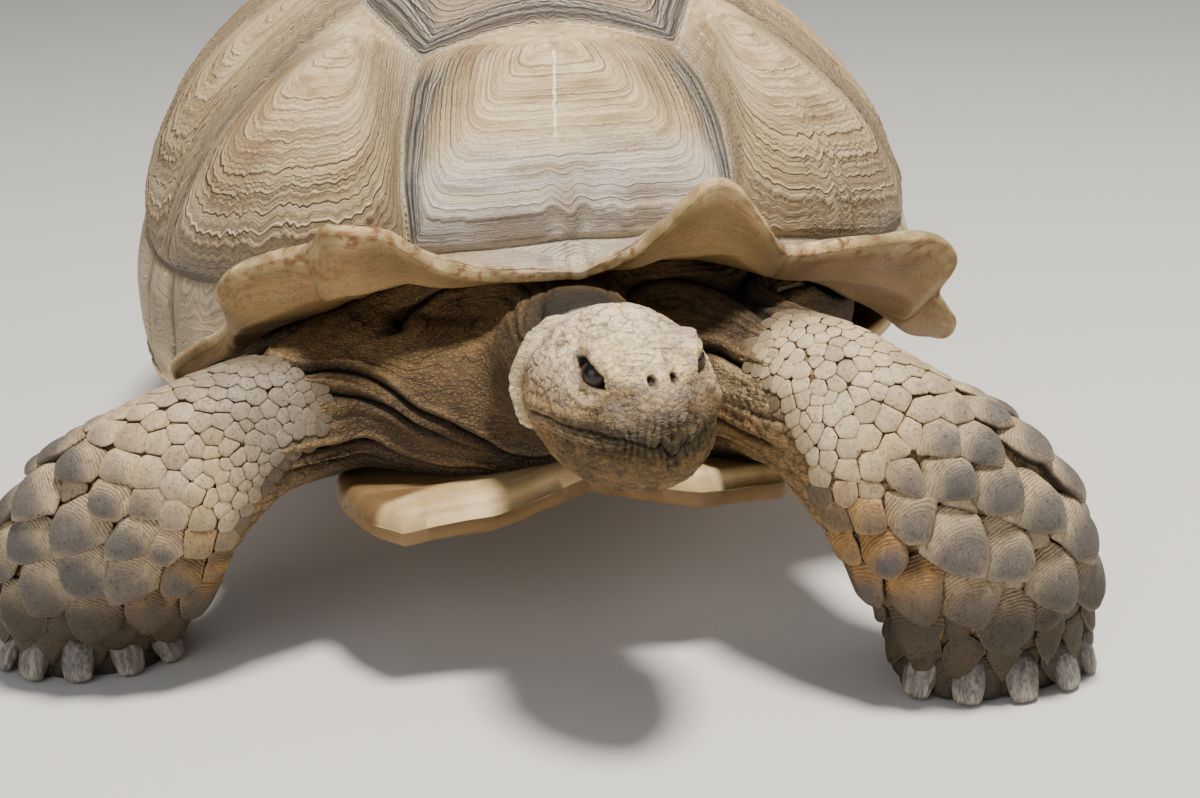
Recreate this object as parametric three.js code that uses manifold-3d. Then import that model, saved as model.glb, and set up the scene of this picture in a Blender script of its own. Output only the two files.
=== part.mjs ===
// A life-size still model of an adult sulcata tortoise (African spurred tortoise), standing with its head out.
// Millimetres, +Z up, the head towards -Y, the animal's own left towards +X, its feet on the floor at z = 0.
import * as THREE from "three";
import { mergeVertices } from "three/addons/utils/BufferGeometryUtils.js";
import Module from "manifold-3d";

const wasm = await Module();
wasm.setup();

const rad = THREE.MathUtils.degToRad;
const { lerp, clamp } = THREE.MathUtils;
const vec = (x = 0, y = 0, z = 0) => new THREE.Vector3(x, y, z);

// ---------------------------------------------------------------- driving dimensions
const GAP = 0.35; // what touching pieces keep between them
const BELLY = 80; // the plastron's flat underside over the floor
const FRAME_SHIFT = vec(38.5, 65.5, 0); // brings the middle of the whole animal over the origin

const SHELL_TOP = 392;
const SHELL_HALF_WIDTH = 254; // plan of the seam between costal and marginal scutes
const SHELL_FRONT = 300;
const SHELL_BACK = 315;
const PLAN_POWER = 0.75; // below 1 squares the plan
const DOME_POWER_SIDE = 1.72; // 2 is an ellipse, and below 2 the flanks slope in
const DOME_POWER_END = 1.9;
const WALL = 14; // bone and horn together
const RIM_ROOT = 20; // thickness of the flared rim where it leaves the dome
const RIM_EDGE = 6;
const PLATE_RISE = 2.4; // a scute over its seams
const SEAM_INSET = 0.02; // from a seam to the raised face, on a disc of radius 1 for the dome
const SCUTE_BULGE = 5; // a growth centre over its scute's edge
const MARGINAL_GROOVE = 0.9; // degrees from a marginal's end to its raised face
const RIM_STEP = 14; // degrees, the widest step round the rim

// The edge of the shell round the plan: turn is 0 at the nuchal notch and 180 at the tail, seam the height
// of the costal seam, out and z the free edge from there, curl the slope of the rim's end in degrees, and dip
// how much lower the rim's root hangs before it turns up.
const RIM_SIDES = [
  { turn: 71, seam: 200, out: 13, z: 130, curl: -75, dip: 4 },
  { turn: 83, seam: 204, out: 8, z: 130, curl: -100, dip: 0 },
  { turn: 107, seam: 204, out: 8, z: 130, curl: -100, dip: 0 },
  { turn: 121, seam: 202, out: 22, z: 136, curl: -60, dip: 0 },
  { turn: 136, seam: 200, out: 38, z: 144, curl: -20, dip: 0 },
  { turn: 152, seam: 198, out: 36, z: 140, curl: -20, dip: 0 },
  { turn: 169, seam: 196, out: 26, z: 126, curl: -46, dip: 0 },
  { turn: 180, seam: 196, out: 16, z: 114, curl: -75, dip: 0 },
];
const RIM_LEFT = [
  { turn: 0, seam: 240, out: 18, z: 225, curl: -25, dip: 0 },
  { turn: 4, seam: 239, out: 20, z: 242, curl: 10, dip: 0 },
  { turn: 7.5, seam: 238, out: 46, z: 278, curl: 62, dip: 0 },
  { turn: 9.5, seam: 237, out: 45, z: 280, curl: 66, dip: 0 },
  { turn: 12, seam: 236, out: 41, z: 271, curl: 62, dip: 0 },
  { turn: 14.5, seam: 235, out: 39, z: 253, curl: 50, dip: 2 },
  { turn: 18.5, seam: 232, out: 30, z: 232, curl: 32, dip: 4 },
  { turn: 27, seam: 226, out: 35, z: 230, curl: 32, dip: 9 },
  { turn: 33, seam: 221, out: 44, z: 229, curl: 36, dip: 12 },
  { turn: 38, seam: 217, out: 50, z: 226.5, curl: 34, dip: 16 },
  { turn: 41.5, seam: 215, out: 57, z: 220, curl: 28, dip: 21 },
  { turn: 44, seam: 213, out: 60, z: 207, curl: 18, dip: 24 },
  { turn: 47, seam: 210, out: 44, z: 182, curl: 8, dip: 26 },
  { turn: 50, seam: 208, out: 45, z: 166, curl: 5, dip: 26 },
  { turn: 53.5, seam: 207, out: 47, z: 151, curl: 0, dip: 25 },
  { turn: 57, seam: 206, out: 38, z: 137, curl: -10, dip: 22 },
  { turn: 62, seam: 203, out: 20, z: 130, curl: -40, dip: 12 },
  ...RIM_SIDES,
];
const RIM_RIGHT = [
  { turn: 0, seam: 240, out: 18, z: 225, curl: -25, dip: 0 },
  { turn: 5.6, seam: 238, out: 20, z: 228, curl: -10, dip: 0 },
  { turn: 9.7, seam: 237, out: 25, z: 236.5, curl: 20, dip: 0 },
  { turn: 12.2, seam: 236, out: 28, z: 244, curl: 34, dip: 0 },
  { turn: 14, seam: 236, out: 32, z: 252, curl: 44, dip: 0 },
  { turn: 15.5, seam: 235, out: 40, z: 260.7, curl: 55, dip: 0 },
  { turn: 18.5, seam: 233, out: 50, z: 265.6, curl: 62, dip: 2 },
  { turn: 21.5, seam: 231, out: 51, z: 265.7, curl: 62, dip: 3 },
  { turn: 23.5, seam: 229, out: 43, z: 255, curl: 52, dip: 5 },
  { turn: 26, seam: 228, out: 36, z: 249, curl: 44, dip: 7 },
  { turn: 28.5, seam: 225, out: 38, z: 246.5, curl: 44, dip: 9 },
  { turn: 33, seam: 221, out: 43, z: 240, curl: 42, dip: 12 },
  { turn: 37, seam: 218, out: 42, z: 228.7, curl: 34, dip: 14 },
  { turn: 39, seam: 217, out: 37.5, z: 219, curl: 24, dip: 16 },
  { turn: 41.5, seam: 215, out: 22, z: 204.5, curl: 8, dip: 18 },
  { turn: 43.5, seam: 213, out: 12, z: 190, curl: 0, dip: 20 },
  { turn: 46.5, seam: 211, out: 14, z: 178.5, curl: -5, dip: 21 },
  { turn: 49.5, seam: 209, out: 17, z: 171.6, curl: -5, dip: 22 },
  { turn: 54, seam: 207, out: 27, z: 156.5, curl: -5, dip: 21 },
  { turn: 57, seam: 206, out: 19, z: 140.6, curl: -20, dip: 18 },
  { turn: 62, seam: 203, out: 17, z: 131, curl: -50, dip: 10 },
  ...RIM_SIDES,
];
// Where the marginal scutes end, from the notch round to the tail; the last is half the supracaudal.
const MARGINAL_ENDS_BACK = [62, 73, 84, 95, 107, 121, 136, 152, 169, 180];
const MARGINAL_ENDS_LEFT = [0, 18.5, 47, ...MARGINAL_ENDS_BACK];
const MARGINAL_ENDS_RIGHT = [0, 24.7, 43.5, ...MARGINAL_ENDS_BACK];

// Scute corners on the dome, as a disc seen from above: 1 is the costal seam, -y the front.
const VERTEBRAL_SEAMS = [-0.52, -0.16, 0.16, 0.5];
const VERTEBRAL_SEAM_HALF = 0.16;
const VERTEBRAL_SEAM_BOW = 0.05; // how far back the seam between two vertebrals bows at the midline
const VERTEBRAL_WAISTS = [-0.29, 0.02, 0.34];
const VERTEBRAL_WAIST_HALF = 0.25;
const VERTEBRAL_TAIL_HALF = 0.17; // the last seam between two vertebrals is wider
const VERTEBRAL_FRONT_TURN = 15; // where the first and last vertebral meet the rim
const VERTEBRAL_BACK_TURN = 159;
const SHOULDERS = [
  [0.195, -0.6],
  [0.22, -0.7],
  [0.238, -0.82],
]; // the side of the first vertebral
const HIP = [0.28, 0.76];
const COSTAL_END_TURNS = [65, 94, 126];
const VERTEBRAL_CENTRES = [-0.62, -0.29, 0.05, 0.38, 0.66]; // where the scutes grew from
const COSTAL_CENTRES = [
  [0.3, -0.47],
  [0.37, -0.14],
  [0.37, 0.17],
  [0.34, 0.5],
];
const SEAM_STEP = 0.16; // the longest straight run along a seam, on the same disc

const SKIN = { color: "#8a7a5f", roughness: 0.9 };
const LEG_SKIN = { color: "#93836a", roughness: 0.88 };
const HORN = { color: "#a58c66", roughness: 0.62 };
const BELLY_HORN = { color: "#b98f58", roughness: 0.55 };
const CLAW_HORN = { color: "#5e564b", roughness: 0.6 };
const HEAD_SKIN = { color: "#9c8d70", roughness: 0.85 };
const EYE = { color: "#17110c", roughness: 0.12 };

// ---------------------------------------------------------------- small maths
const steps = (from, to, n) => Array.from({ length: n + 1 }, (_, i) => lerp(from, to, i / n));

// A smooth curve through one value of a list of stations.
function through(stations, by, key) {
  const x = stations.map((s) => s[by]);
  const y = stations.map((s) => s[key]);
  const slope = x.map((_, i) => {
    const a = Math.max(0, i - 1);
    const b = Math.min(x.length - 1, i + 1);
    return (y[b] - y[a]) / (x[b] - x[a]);
  });
  return (at) => {
    const t = clamp(at, x[0], x.at(-1));
    let i = 0;
    while (i < x.length - 2 && t > x[i + 1]) i++;
    const w = x[i + 1] - x[i];
    const u = (t - x[i]) / w;
    const ends = y[i] * (1 + 2 * u) * (1 - u) ** 2 + y[i + 1] * u * u * (3 - 2 * u);
    return ends + slope[i] * w * u * (1 - u) ** 2 + slope[i + 1] * w * u * u * (u - 1);
  };
}

let seed = 11;
function random() {
  seed = (seed * 16807) % 2147483647;
  return seed / 2147483647;
}

// ---------------------------------------------------------------- closed surfaces and solids
// A closed surface from points and triangles: like points are merged and the faces are turned out.
function closed(points, faces) {
  const g = new THREE.BufferGeometry();
  const flat = new Float32Array(points.flatMap((p) => [p.x, p.y, p.z]));
  g.setAttribute("position", new THREE.BufferAttribute(flat, 3));
  g.setIndex(faces);
  const merged = mergeVertices(g, 1e-3);
  const index = Array.from(merged.index.array);
  const kept = [];
  for (let i = 0; i < index.length; i += 3) {
    const [a, b, c] = index.slice(i, i + 3);
    if (a !== b && b !== c && a !== c) kept.push(a, b, c);
  }
  merged.setIndex(kept);
  if (volume(merged) < 0) merged.setIndex(kept.reverse());
  return merged;
}

function volume(g) {
  const p = g.attributes.position;
  const i = g.index.array;
  const [a, b, c] = [vec(), vec(), vec()];
  let sum = 0;
  for (let k = 0; k < i.length; k += 3) {
    a.fromBufferAttribute(p, i[k]);
    b.fromBufferAttribute(p, i[k + 1]);
    c.fromBufferAttribute(p, i[k + 2]);
    sum += a.dot(b.cross(c));
  }
  return sum;
}

// The faces between rings of points that are each closed on themselves.
function strips(faces, first, rows, n) {
  for (let r = 0; r < rows - 1; r++)
    for (let k = 0; k < n; k++) {
      const a = first + r * n + k;
      const b = first + r * n + ((k + 1) % n);
      faces.push(a, b, b + n, a, b + n, a + n);
    }
}

// Rings of points joined into one body, with the two ends capped by a fan.
function loft(rings) {
  const n = rings[0].length;
  const points = rings.flat();
  const faces = [];
  strips(faces, 0, rings.length, n);
  for (const [first, last] of [[0, false], [(rings.length - 1) * n, true]]) {
    points.push(points.slice(first, first + n).reduce((s, p) => s.add(p), vec()).divideScalar(n));
    for (let k = 0; k < n; k++) {
      const [a, b] = [first + k, first + ((k + 1) % n)];
      faces.push(...(last ? [a, b] : [b, a]), points.length - 1);
    }
  }
  return closed(points, faces);
}

// A plate from a grid of points for its upper and for its lower side, closed round the border.
function slab(upper, lower) {
  const rows = upper.length;
  const n = upper[0].length;
  const points = [...upper.flat(), ...lower.flat()];
  const faces = [];
  const under = rows * n;
  for (let r = 0; r < rows - 1; r++)
    for (let k = 0; k < n - 1; k++) {
      const a = r * n + k;
      faces.push(a, a + 1, a + n + 1, a, a + n + 1, a + n);
      const b = under + a;
      faces.push(b + 1, b, b + n + 1, b + n + 1, b, b + n);
    }
  const border = [
    ...steps(0, n - 1, n - 1),
    ...steps(1, rows - 1, rows - 2).map((r) => r * n + n - 1),
    ...steps(n - 2, 0, n - 2).map((k) => (rows - 1) * n + k),
    ...steps(rows - 2, 1, rows - 3).map((r) => r * n),
  ].map(Math.round);
  border.forEach((a, i) => {
    const b = border[(i + 1) % border.length];
    faces.push(b, a, under + a, b, under + a, under + b);
  });
  return closed(points, faces);
}

// A surface with every face moved out by about the same distance: each vertex moves along the mean of its
// faces' normals, and further where those faces meet at a sharp edge, up to SHARPEST times.
const SHARPEST = 2.5;
function grown(shape, by = GAP) {
  const g = shape.isBufferGeometry ? shape.clone() : geometryOf(shape);
  const p = g.attributes.position;
  const index = g.index.array;
  const around = Array.from({ length: p.count }, () => []);
  const corner = [vec(), vec(), vec()];
  for (let i = 0; i < index.length; i += 3) {
    corner.forEach((c, k) => c.fromBufferAttribute(p, index[i + k]));
    const sides = corner.map((c, k) => corner[(k + 1) % 3].clone().sub(c));
    const normal = sides[0].clone().cross(sides[1]).normalize();
    for (let k = 0; k < 3; k++) {
      const angle = sides[k].angleTo(sides[(k + 2) % 3].clone().negate());
      around[index[i + k]].push({ normal, angle });
    }
  }
  around.forEach((faces, i) => {
    const mean = faces.reduce((sum, f) => sum.addScaledVector(f.normal, f.angle), vec()).normalize();
    const least = Math.min(...faces.filter((f) => f.angle > 0.01).map((f) => f.normal.dot(mean)));
    mean.multiplyScalar(by / Math.max(1 / SHARPEST, least));
    p.setXYZ(i, p.getX(i) + mean.x, p.getY(i) + mean.y, p.getZ(i) + mean.z);
  });
  return g;
}

function solid(shape) {
  if (!shape.isBufferGeometry) return shape;
  const vertProperties = new Float32Array(shape.attributes.position.array);
  const triVerts = new Uint32Array(shape.index.array);
  return new wasm.Manifold(new wasm.Mesh({ numProp: 3, vertProperties, triVerts }));
}

const cut = (from, ...tools) => tools.reduce((a, b) => a.subtract(solid(b)), solid(from));
const joined = (from, more) => more.reduce((a, b) => a.add(solid(b)), solid(from));
const largest = (s) => s.decompose().reduce((a, b) => (b.volume() > a.volume() ? b : a));

function geometryOf(s) {
  const m = s.getMesh();
  const g = new THREE.BufferGeometry();
  g.setAttribute("position", new THREE.BufferAttribute(new Float32Array(m.vertProperties), 3));
  g.setIndex(Array.from(m.triVerts));
  return g;
}

// A smooth course of sections. A station gives the point at, the half sizes wide and deep, and across, the
// direction of the wide side. place is counted in stations, and square below 1 squares the sections.
function course(stations, square = 1) {
  const curve = new THREE.CatmullRomCurve3(stations.map((s) => s.at), false, "centripetal");
  const flat = stations.map(({ wide, deep, across: { x, y, z } }, i) => ({ i, wide, deep, x, y, z }));
  const keys = ["wide", "deep", "x", "y", "z"];
  const value = Object.fromEntries(keys.map((key) => [key, through(flat, "i", key)]));
  const last = stations.length - 1;
  const frame = (place) => {
    const lie = curve.getTangent(place / last);
    const side = vec(value.x(place), value.y(place), value.z(place));
    side.addScaledVector(lie, -side.dot(lie)).normalize();
    const up = lie.clone().cross(side).normalize();
    const at = curve.getPoint(place / last);
    return { at, lie, side, up, wide: value.wide(place), deep: value.deep(place) };
  };
  const point = (place, angle, scale = 1, shift = 0) => {
    const f = frame(place);
    const c = Math.sign(Math.cos(angle)) * Math.abs(Math.cos(angle)) ** square;
    const s = Math.sign(Math.sin(angle)) * Math.abs(Math.sin(angle)) ** square;
    return f.at
      .addScaledVector(f.lie, shift)
      .addScaledVector(f.side, c * f.wide * scale)
      .addScaledVector(f.up, s * f.deep * scale);
  };
  return { frame, point, last, deep: value.deep };
}

// A body along a course of sections, with its two ends rounded over by a share of their depth.
function bar(stations, { sides = 16, length = 10, square = 1, roundStart = 0.5, roundEnd = 0.5 } = {}) {
  const { point, last, deep } = course(stations, square);
  const ring = (place, scale, shift) =>
    steps(0, 2 * Math.PI, sides).slice(1).map((a) => point(place, a - Math.PI / sides, scale, shift));
  const over = [72, 42].map(rad);
  return loft([
    ...over.map((a) => ring(0, Math.cos(a), -Math.sin(a) * roundStart * deep(0))),
    ...steps(0, last, length).map((place) => ring(place, 1, 0)),
    ...over.toReversed().map((a) => ring(last, Math.cos(a), Math.sin(a) * roundEnd * deep(last))),
  ]);
}

function ball(at, radius, [around, down] = [16, 10]) {
  const g = new THREE.SphereGeometry(radius, around, down);
  g.translate(at.x, at.y, at.z);
  const p = g.attributes.position;
  const points = Array.from({ length: p.count }, (_, i) => vec().fromBufferAttribute(p, i));
  return closed(points, Array.from(g.index.array));
}

// ---------------------------------------------------------------- the shell's surface
const rimOf = (stations) =>
  Object.fromEntries(["seam", "out", "z", "curl", "dip"].map((key) => [key, through(stations, "turn", key)]));
const RIMS = { left: rimOf(RIM_LEFT), right: rimOf(RIM_RIGHT) };

// A turn runs -180..180, and the animal's left is positive.
const rimAt = (turn) => (turn < 0 ? RIMS.right : RIMS.left);
const endsAt = (turn) => (turn < 0 ? MARGINAL_ENDS_RIGHT : MARGINAL_ENDS_LEFT);

function plan(turn) {
  const s = Math.sin(rad(turn));
  const c = Math.cos(rad(turn));
  const x = Math.sign(s) * Math.abs(s) ** PLAN_POWER * SHELL_HALF_WIDTH;
  const y = -Math.sign(c) * Math.abs(c) ** PLAN_POWER * (c > 0 ? SHELL_FRONT : SHELL_BACK);
  return vec(x, y, 0);
}

function outward(turn) {
  const p = plan(turn);
  return vec(p.x / SHELL_HALF_WIDTH, p.y / SHELL_FRONT, 0).normalize();
}

// A point of the dome: reach is 0 at the crown and 1 at the costal seam, rise is measured out from it.
function domePoint(turn, reach, rise = 0) {
  const g = Math.sin((Math.PI / 2) * reach);
  const seam = rimAt(turn).seam(Math.abs(turn));
  const p = plan(turn).multiplyScalar(g);
  const power = lerp(DOME_POWER_END, DOME_POWER_SIDE, Math.sin(rad(turn)) ** 2);
  p.z = seam + (SHELL_TOP - seam) * Math.max(0, 1 - g ** power) ** (1 / power);
  const tilt = vec(p.x / SHELL_HALF_WIDTH, p.y / SHELL_FRONT, 0).multiplyScalar(g ** 1.5).setZ(1.12 - g);
  return p.addScaledVector(tilt.normalize(), rise);
}

// Behind the front lobes the free edge draws in a little where two marginals meet, most at the back.
function scallop(turn) {
  const a = Math.abs(turn);
  const ends = endsAt(turn);
  const i = Math.max(1, ends.findIndex((e) => e >= a));
  const near = (2 * Math.min(a - ends[i - 1], ends[i] - a)) / (ends[i] - ends[i - 1]);
  const plain = a < MARGINAL_ENDS_BACK[0] || a > 175;
  return plain ? 0 : 4 * (1 - near) ** 3 * Math.abs(Math.cos(rad(a)));
}

// A point of the flared rim: t is 0 at the costal seam and 1 at the free edge.
function rimPoint(turn, t, rise = 0) {
  const rim = rimAt(turn);
  const a = Math.abs(turn);
  const seam = rim.seam(a);
  const drawn = scallop(turn);
  const edge = new THREE.Vector2(rim.out(a) - drawn, rim.z(a) - drawn * 0.5);
  const length = Math.hypot(edge.x, edge.y - seam);
  const aim = rad(rim.curl(a));
  const start = new THREE.Vector2(0, seam);
  const leave = new THREE.Vector2(0.16 * length, seam - 0.3 * length - 2 * rim.dip(a));
  const back = new THREE.Vector2(Math.cos(aim), Math.sin(aim)).multiplyScalar(0.42 * length);
  const arrive = edge.clone().sub(back);
  const curve = new THREE.CubicBezierCurve(start, leave, arrive, edge);
  const d = curve.getTangent(t);
  const p = curve.getPoint(t).addScaledVector(new THREE.Vector2(-d.y, d.x), rise);
  return plan(turn).addScaledVector(outward(turn), p.x).setZ(p.y);
}

const disc = (turn) => new THREE.Vector2(Math.sin(rad(turn)), -Math.cos(rad(turn)));
const turnOf = (p) => THREE.MathUtils.radToDeg(Math.atan2(p.x, -p.y));
const onDome = (p, rise) => domePoint(turnOf(p), Math.min(1, p.length()), rise);

const VAULT_ROWS = [0.92, 0.66, 0.3]; // how far out from the crown the inside is sampled
// The foot of the vault inside the shell, under the costal seam.
function vaultFoot(t, inset) {
  const { seam, dip } = rimAt(t);
  const z = seam(Math.abs(t)) - RIM_ROOT - dip(Math.abs(t));
  return plan(t).addScaledVector(outward(t), -WALL - 4 - inset).setZ(z);
}

// ---------------------------------------------------------------- carapace
// The turns at which one side of the rim is built: marginal ends with their flanks, scute corners, the
// stations of the rim's edge, and steps between them.
function sideTurns(ends, rim) {
  const clear = (of, close) => (c) => of.every((f) => Math.abs(f - c) > close * MARGINAL_GROOVE);
  const flanks = ends.flatMap((e) => [e - MARGINAL_GROOVE, e, e + MARGINAL_GROOVE]);
  const corners = [VERTEBRAL_FRONT_TURN, ...COSTAL_END_TURNS, VERTEBRAL_BACK_TURN].filter(clear(flanks, 0.9));
  const own = [...corners, ...rim.map((s) => s.turn).filter(clear([...flanks, ...corners], 1.6))];
  const knots = [...new Set([...flanks, ...own])].filter((t) => t >= 0 && t <= 180).sort((a, b) => a - b);
  return knots.flatMap((from, i) => {
    if (i === knots.length - 1) return [from];
    const n = Math.ceil((knots[i + 1] - from) / RIM_STEP);
    return steps(from, knots[i + 1], n).slice(0, -1);
  });
}
const TURNS_LEFT = sideTurns(MARGINAL_ENDS_LEFT, RIM_LEFT);
const TURNS_RIGHT = sideTurns(MARGINAL_ENDS_RIGHT, RIM_RIGHT);
const RIM_TURNS = [...TURNS_LEFT, ...TURNS_RIGHT.slice(1, -1).reverse().map((t) => -t)];
const nearestTurn = (turn) =>
  RIM_TURNS.reduce((best, t) => (Math.abs(t - turn) < Math.abs(best - turn) ? t : best));

// Corner lists of the dome's scutes, each with the centre it grew from.
function domeScutes() {
  const at = (x, y) => new THREE.Vector2(x, y);
  const [a, b, c, d] = VERTEBRAL_SEAMS;
  const [p, q, r] = VERTEBRAL_WAISTS;
  const [e, f, g] = COSTAL_END_TURNS;
  const h = VERTEBRAL_SEAM_HALF;
  const w = VERTEBRAL_WAIST_HALF;
  const tail = VERTEBRAL_TAIL_HALF;
  const end = (side, turn) => disc(nearestTurn(side * turn));
  const front = (side) => end(side, VERTEBRAL_FRONT_TURN);
  const back = (side) => end(side, VERTEBRAL_BACK_TURN);
  const hip = (side) => at(side * HIP[0], HIP[1]);
  const shoulders = (side) => SHOULDERS.map(([x, y]) => at(side * x, y));
  const middle = (y) => at(0, y + VERTEBRAL_SEAM_BOW);
  const both = (half, first = [], last = []) => [...first, ...half(1), ...last, ...half(-1).reverse()];
  const vertebrals = [
    both((s) => [at(s * h, a), ...shoulders(s), front(s)], [middle(a)]),
    both((s) => [at(s * h, b), at(s * w, p), at(s * h, a)], [middle(b)], [middle(a)]),
    both((s) => [at(s * h, c), at(s * w, q), at(s * h, b)], [middle(c)], [middle(b)]),
    both((s) => [at(s * tail, d), at(s * w, r), at(s * h, c)], [middle(d)], [middle(c)]),
    both((s) => [back(s), hip(s), at(s * tail, d)], [], [middle(d)]),
  ].map((corners, i) => [corners, at(0, VERTEBRAL_CENTRES[i])]);
  const costals = [1, -1].flatMap((s) =>
    [
      [at(s * h, a), at(s * w, p), end(s, e), front(s), ...shoulders(s).reverse()],
      [at(s * w, p), at(s * h, b), at(s * w, q), end(s, f), end(s, e)],
      [at(s * w, q), at(s * h, c), at(s * w, r), end(s, g), end(s, f)],
      [at(s * w, r), at(s * tail, d), hip(s), back(s), end(s, g)],
    ].map((corners, i) => [corners, at(s * COSTAL_CENTRES[i][0], COSTAL_CENTRES[i][1])]),
  );
  return [...vertebrals, ...costals].map(([corners, centre]) => ({ corners, centre }));
}

// Points round a scute, the same from either side of a seam: straight on the disc, but on the rim the rim's
// own turns.
function outline(corners) {
  return corners.flatMap((from, i) => {
    const to = corners[(i + 1) % corners.length];
    const onRim = Math.min(from.length(), to.length()) > 0.999;
    if (onRim) return rimRun(turnOf(from), turnOf(to));
    const forward = from.x < to.x || (from.x === to.x && from.y < to.y);
    const [a, b] = forward ? [from, to] : [to, from];
    const n = Math.max(1, Math.round(a.distanceTo(b) / SEAM_STEP));
    const line = steps(0, 1, n).map((t) => a.clone().lerp(b, t));
    return (forward ? line : line.reverse()).slice(0, -1);
  });
}

function rimRun(from, to) {
  const behind = (t) => (t < 0 && Math.max(from, to) > 90 ? t + 360 : t);
  const [a, b] = [behind(from), behind(to)];
  const [least, most] = [Math.min(a, b) - 1e-6, Math.max(a, b) + 1e-6];
  const inside = RIM_TURNS.map(behind).filter((t) => t > least && t < most).sort((p, q) => p - q);
  return (a < b ? inside : inside.reverse()).slice(0, -1).map((t) => disc(t));
}

// Joins two closed rings of points that run the same way, of any counts, along the shorter diagonals.
function stitch(faces, points, low, high) {
  const far = (a, b) => points[a].distanceTo(points[b]);
  let i = 0;
  let j = 0;
  while (i < low.length || j < high.length) {
    const a = low[i % low.length];
    const b = high[j % high.length];
    const nextA = low[(i + 1) % low.length];
    const nextB = high[(j + 1) % high.length];
    if (j === high.length || (i < low.length && far(nextA, b) <= far(a, nextB))) {
      faces.push(a, nextA, b);
      i++;
    } else {
      faces.push(a, nextB, b);
      j++;
    }
  }
}

// Leaves out the points of a ring that lie closer than least to the one kept before them.
function thinned(ring, points, least) {
  const kept = [ring[0]];
  for (const k of ring) if (points[k].distanceTo(points[kept.at(-1)]) >= least) kept.push(k);
  return kept;
}

// One raised scute: its border lies in the seam, its plate rises just inside and bulges towards its growth
// centre.
const SCUTE_LEVELS = [0.8, 0.55, 0.27];
const SCUTE_SPACING = 17;
function addScute({ corners, centre }, points, faces) {
  const outer = outline(corners);
  const inset = (p) => 1 - SEAM_INSET / p.distanceTo(centre);
  const made = [() => 1, inset, ...SCUTE_LEVELS.map((level) => () => level)].map((level, l) =>
    outer.map((p) => {
      const share = level(p);
      const rise = l === 0 ? 0 : PLATE_RISE + SCUTE_BULGE * (1 - share ** 2);
      return points.push(onDome(l === 0 ? p : centre.clone().lerp(p, share), rise)) - 1;
    }),
  );
  const rings = made.map((ring, l) => (l < 2 ? ring : thinned(ring, points, SCUTE_SPACING)));
  const local = [];
  rings.slice(1).forEach((ring, l) => stitch(local, points, rings[l], ring));
  const top = points.push(onDome(centre, PLATE_RISE + SCUTE_BULGE)) - 1;
  const last = rings.at(-1);
  last.forEach((k, i) => local.push(k, last[(i + 1) % last.length], top));
  const reversed = THREE.ShapeUtils.area(outer) > 0;
  faces.push(...(reversed ? local.reverse() : local));
}

function carapaceSurface() {
  const points = [];
  const faces = [];
  for (const scute of domeScutes()) addScute(scute, points, faces);
  const grooves = new Set([...MARGINAL_ENDS_LEFT, ...MARGINAL_ENDS_RIGHT.map((t) => -t)]);
  const raised = (t) => (grooves.has(t) ? 0 : PLATE_RISE);
  const rows = [
    (t) => rimPoint(t, 0),
    (t) => rimPoint(t, 0.1, raised(t)),
    (t) => rimPoint(t, 0.55, raised(t)),
    (t) => rimPoint(t, 0.95, raised(t)),
    (t) => rimPoint(t, 1, -RIM_EDGE * 0.4),
    (t) => rimPoint(t, 0.93, -RIM_EDGE),
    (t) => rimPoint(t, 0.5, -lerp(RIM_EDGE, RIM_ROOT, 0.6)),
    (t) => vaultFoot(t, 0),
    ...VAULT_ROWS.map((reach) => (t) => domePoint(t, reach, -WALL)),
  ];
  const first = points.length;
  for (const row of rows) points.push(...RIM_TURNS.map((t) => row(t)));
  const n = RIM_TURNS.length;
  const local = [];
  strips(local, first, rows.length, n);
  const inner = first + (rows.length - 1) * n;
  points.push(vec(0, 0, SHELL_TOP - WALL));
  for (let k = 0; k < n; k++) local.push(inner + k, inner + ((k + 1) % n), points.length - 1);
  faces.push(...local);
  return closed(points, faces);
}

// ---------------------------------------------------------------- plastron
// Half the plastron's width from the gulars back, and how high its side turns up there to meet the rim.
const PLASTRON_HALF = [
  { y: -374, half: 112, lift: 0 },
  { y: -345, half: 132, lift: 0 },
  { y: -300, half: 146, lift: 4 },
  { y: -240, half: 138, lift: 8 },
  { y: -190, half: 150, lift: 14 },
  { y: -150, half: 222, lift: 30 },
  { y: -110, half: 250, lift: 36 },
  { y: 95, half: 250, lift: 36 },
  { y: 150, half: 222, lift: 30 },
  { y: 195, half: 148, lift: 14 },
  { y: 250, half: 128, lift: 6 },
  { y: 300, half: 92, lift: 8 },
];
const PLASTRON_THICK = 14;
const GULAR_THICK = 24; // the forked front lobe
const GULAR_NOTCH = 30;
const GULAR_LEFT_SHORT = 26; // the left fork of the gulars is worn shorter
const ANAL_NOTCH = 34;

const plastronHalf = through(PLASTRON_HALF, "y", "half");
const plastronLift = through(PLASTRON_HALF, "y", "lift");

// The height of the plastron's underside: side is -1 to 1 across it.
function undersideAt(side, y) {
  const lobe = clamp((-y - 200) / 170, 0, 1) ** 2 * (20 - 13 * Math.abs(side));
  return BELLY + lobe + plastronLift(y) * Math.max(0, (Math.abs(side) - 0.45) / 0.55) ** 1.5;
}

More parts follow.
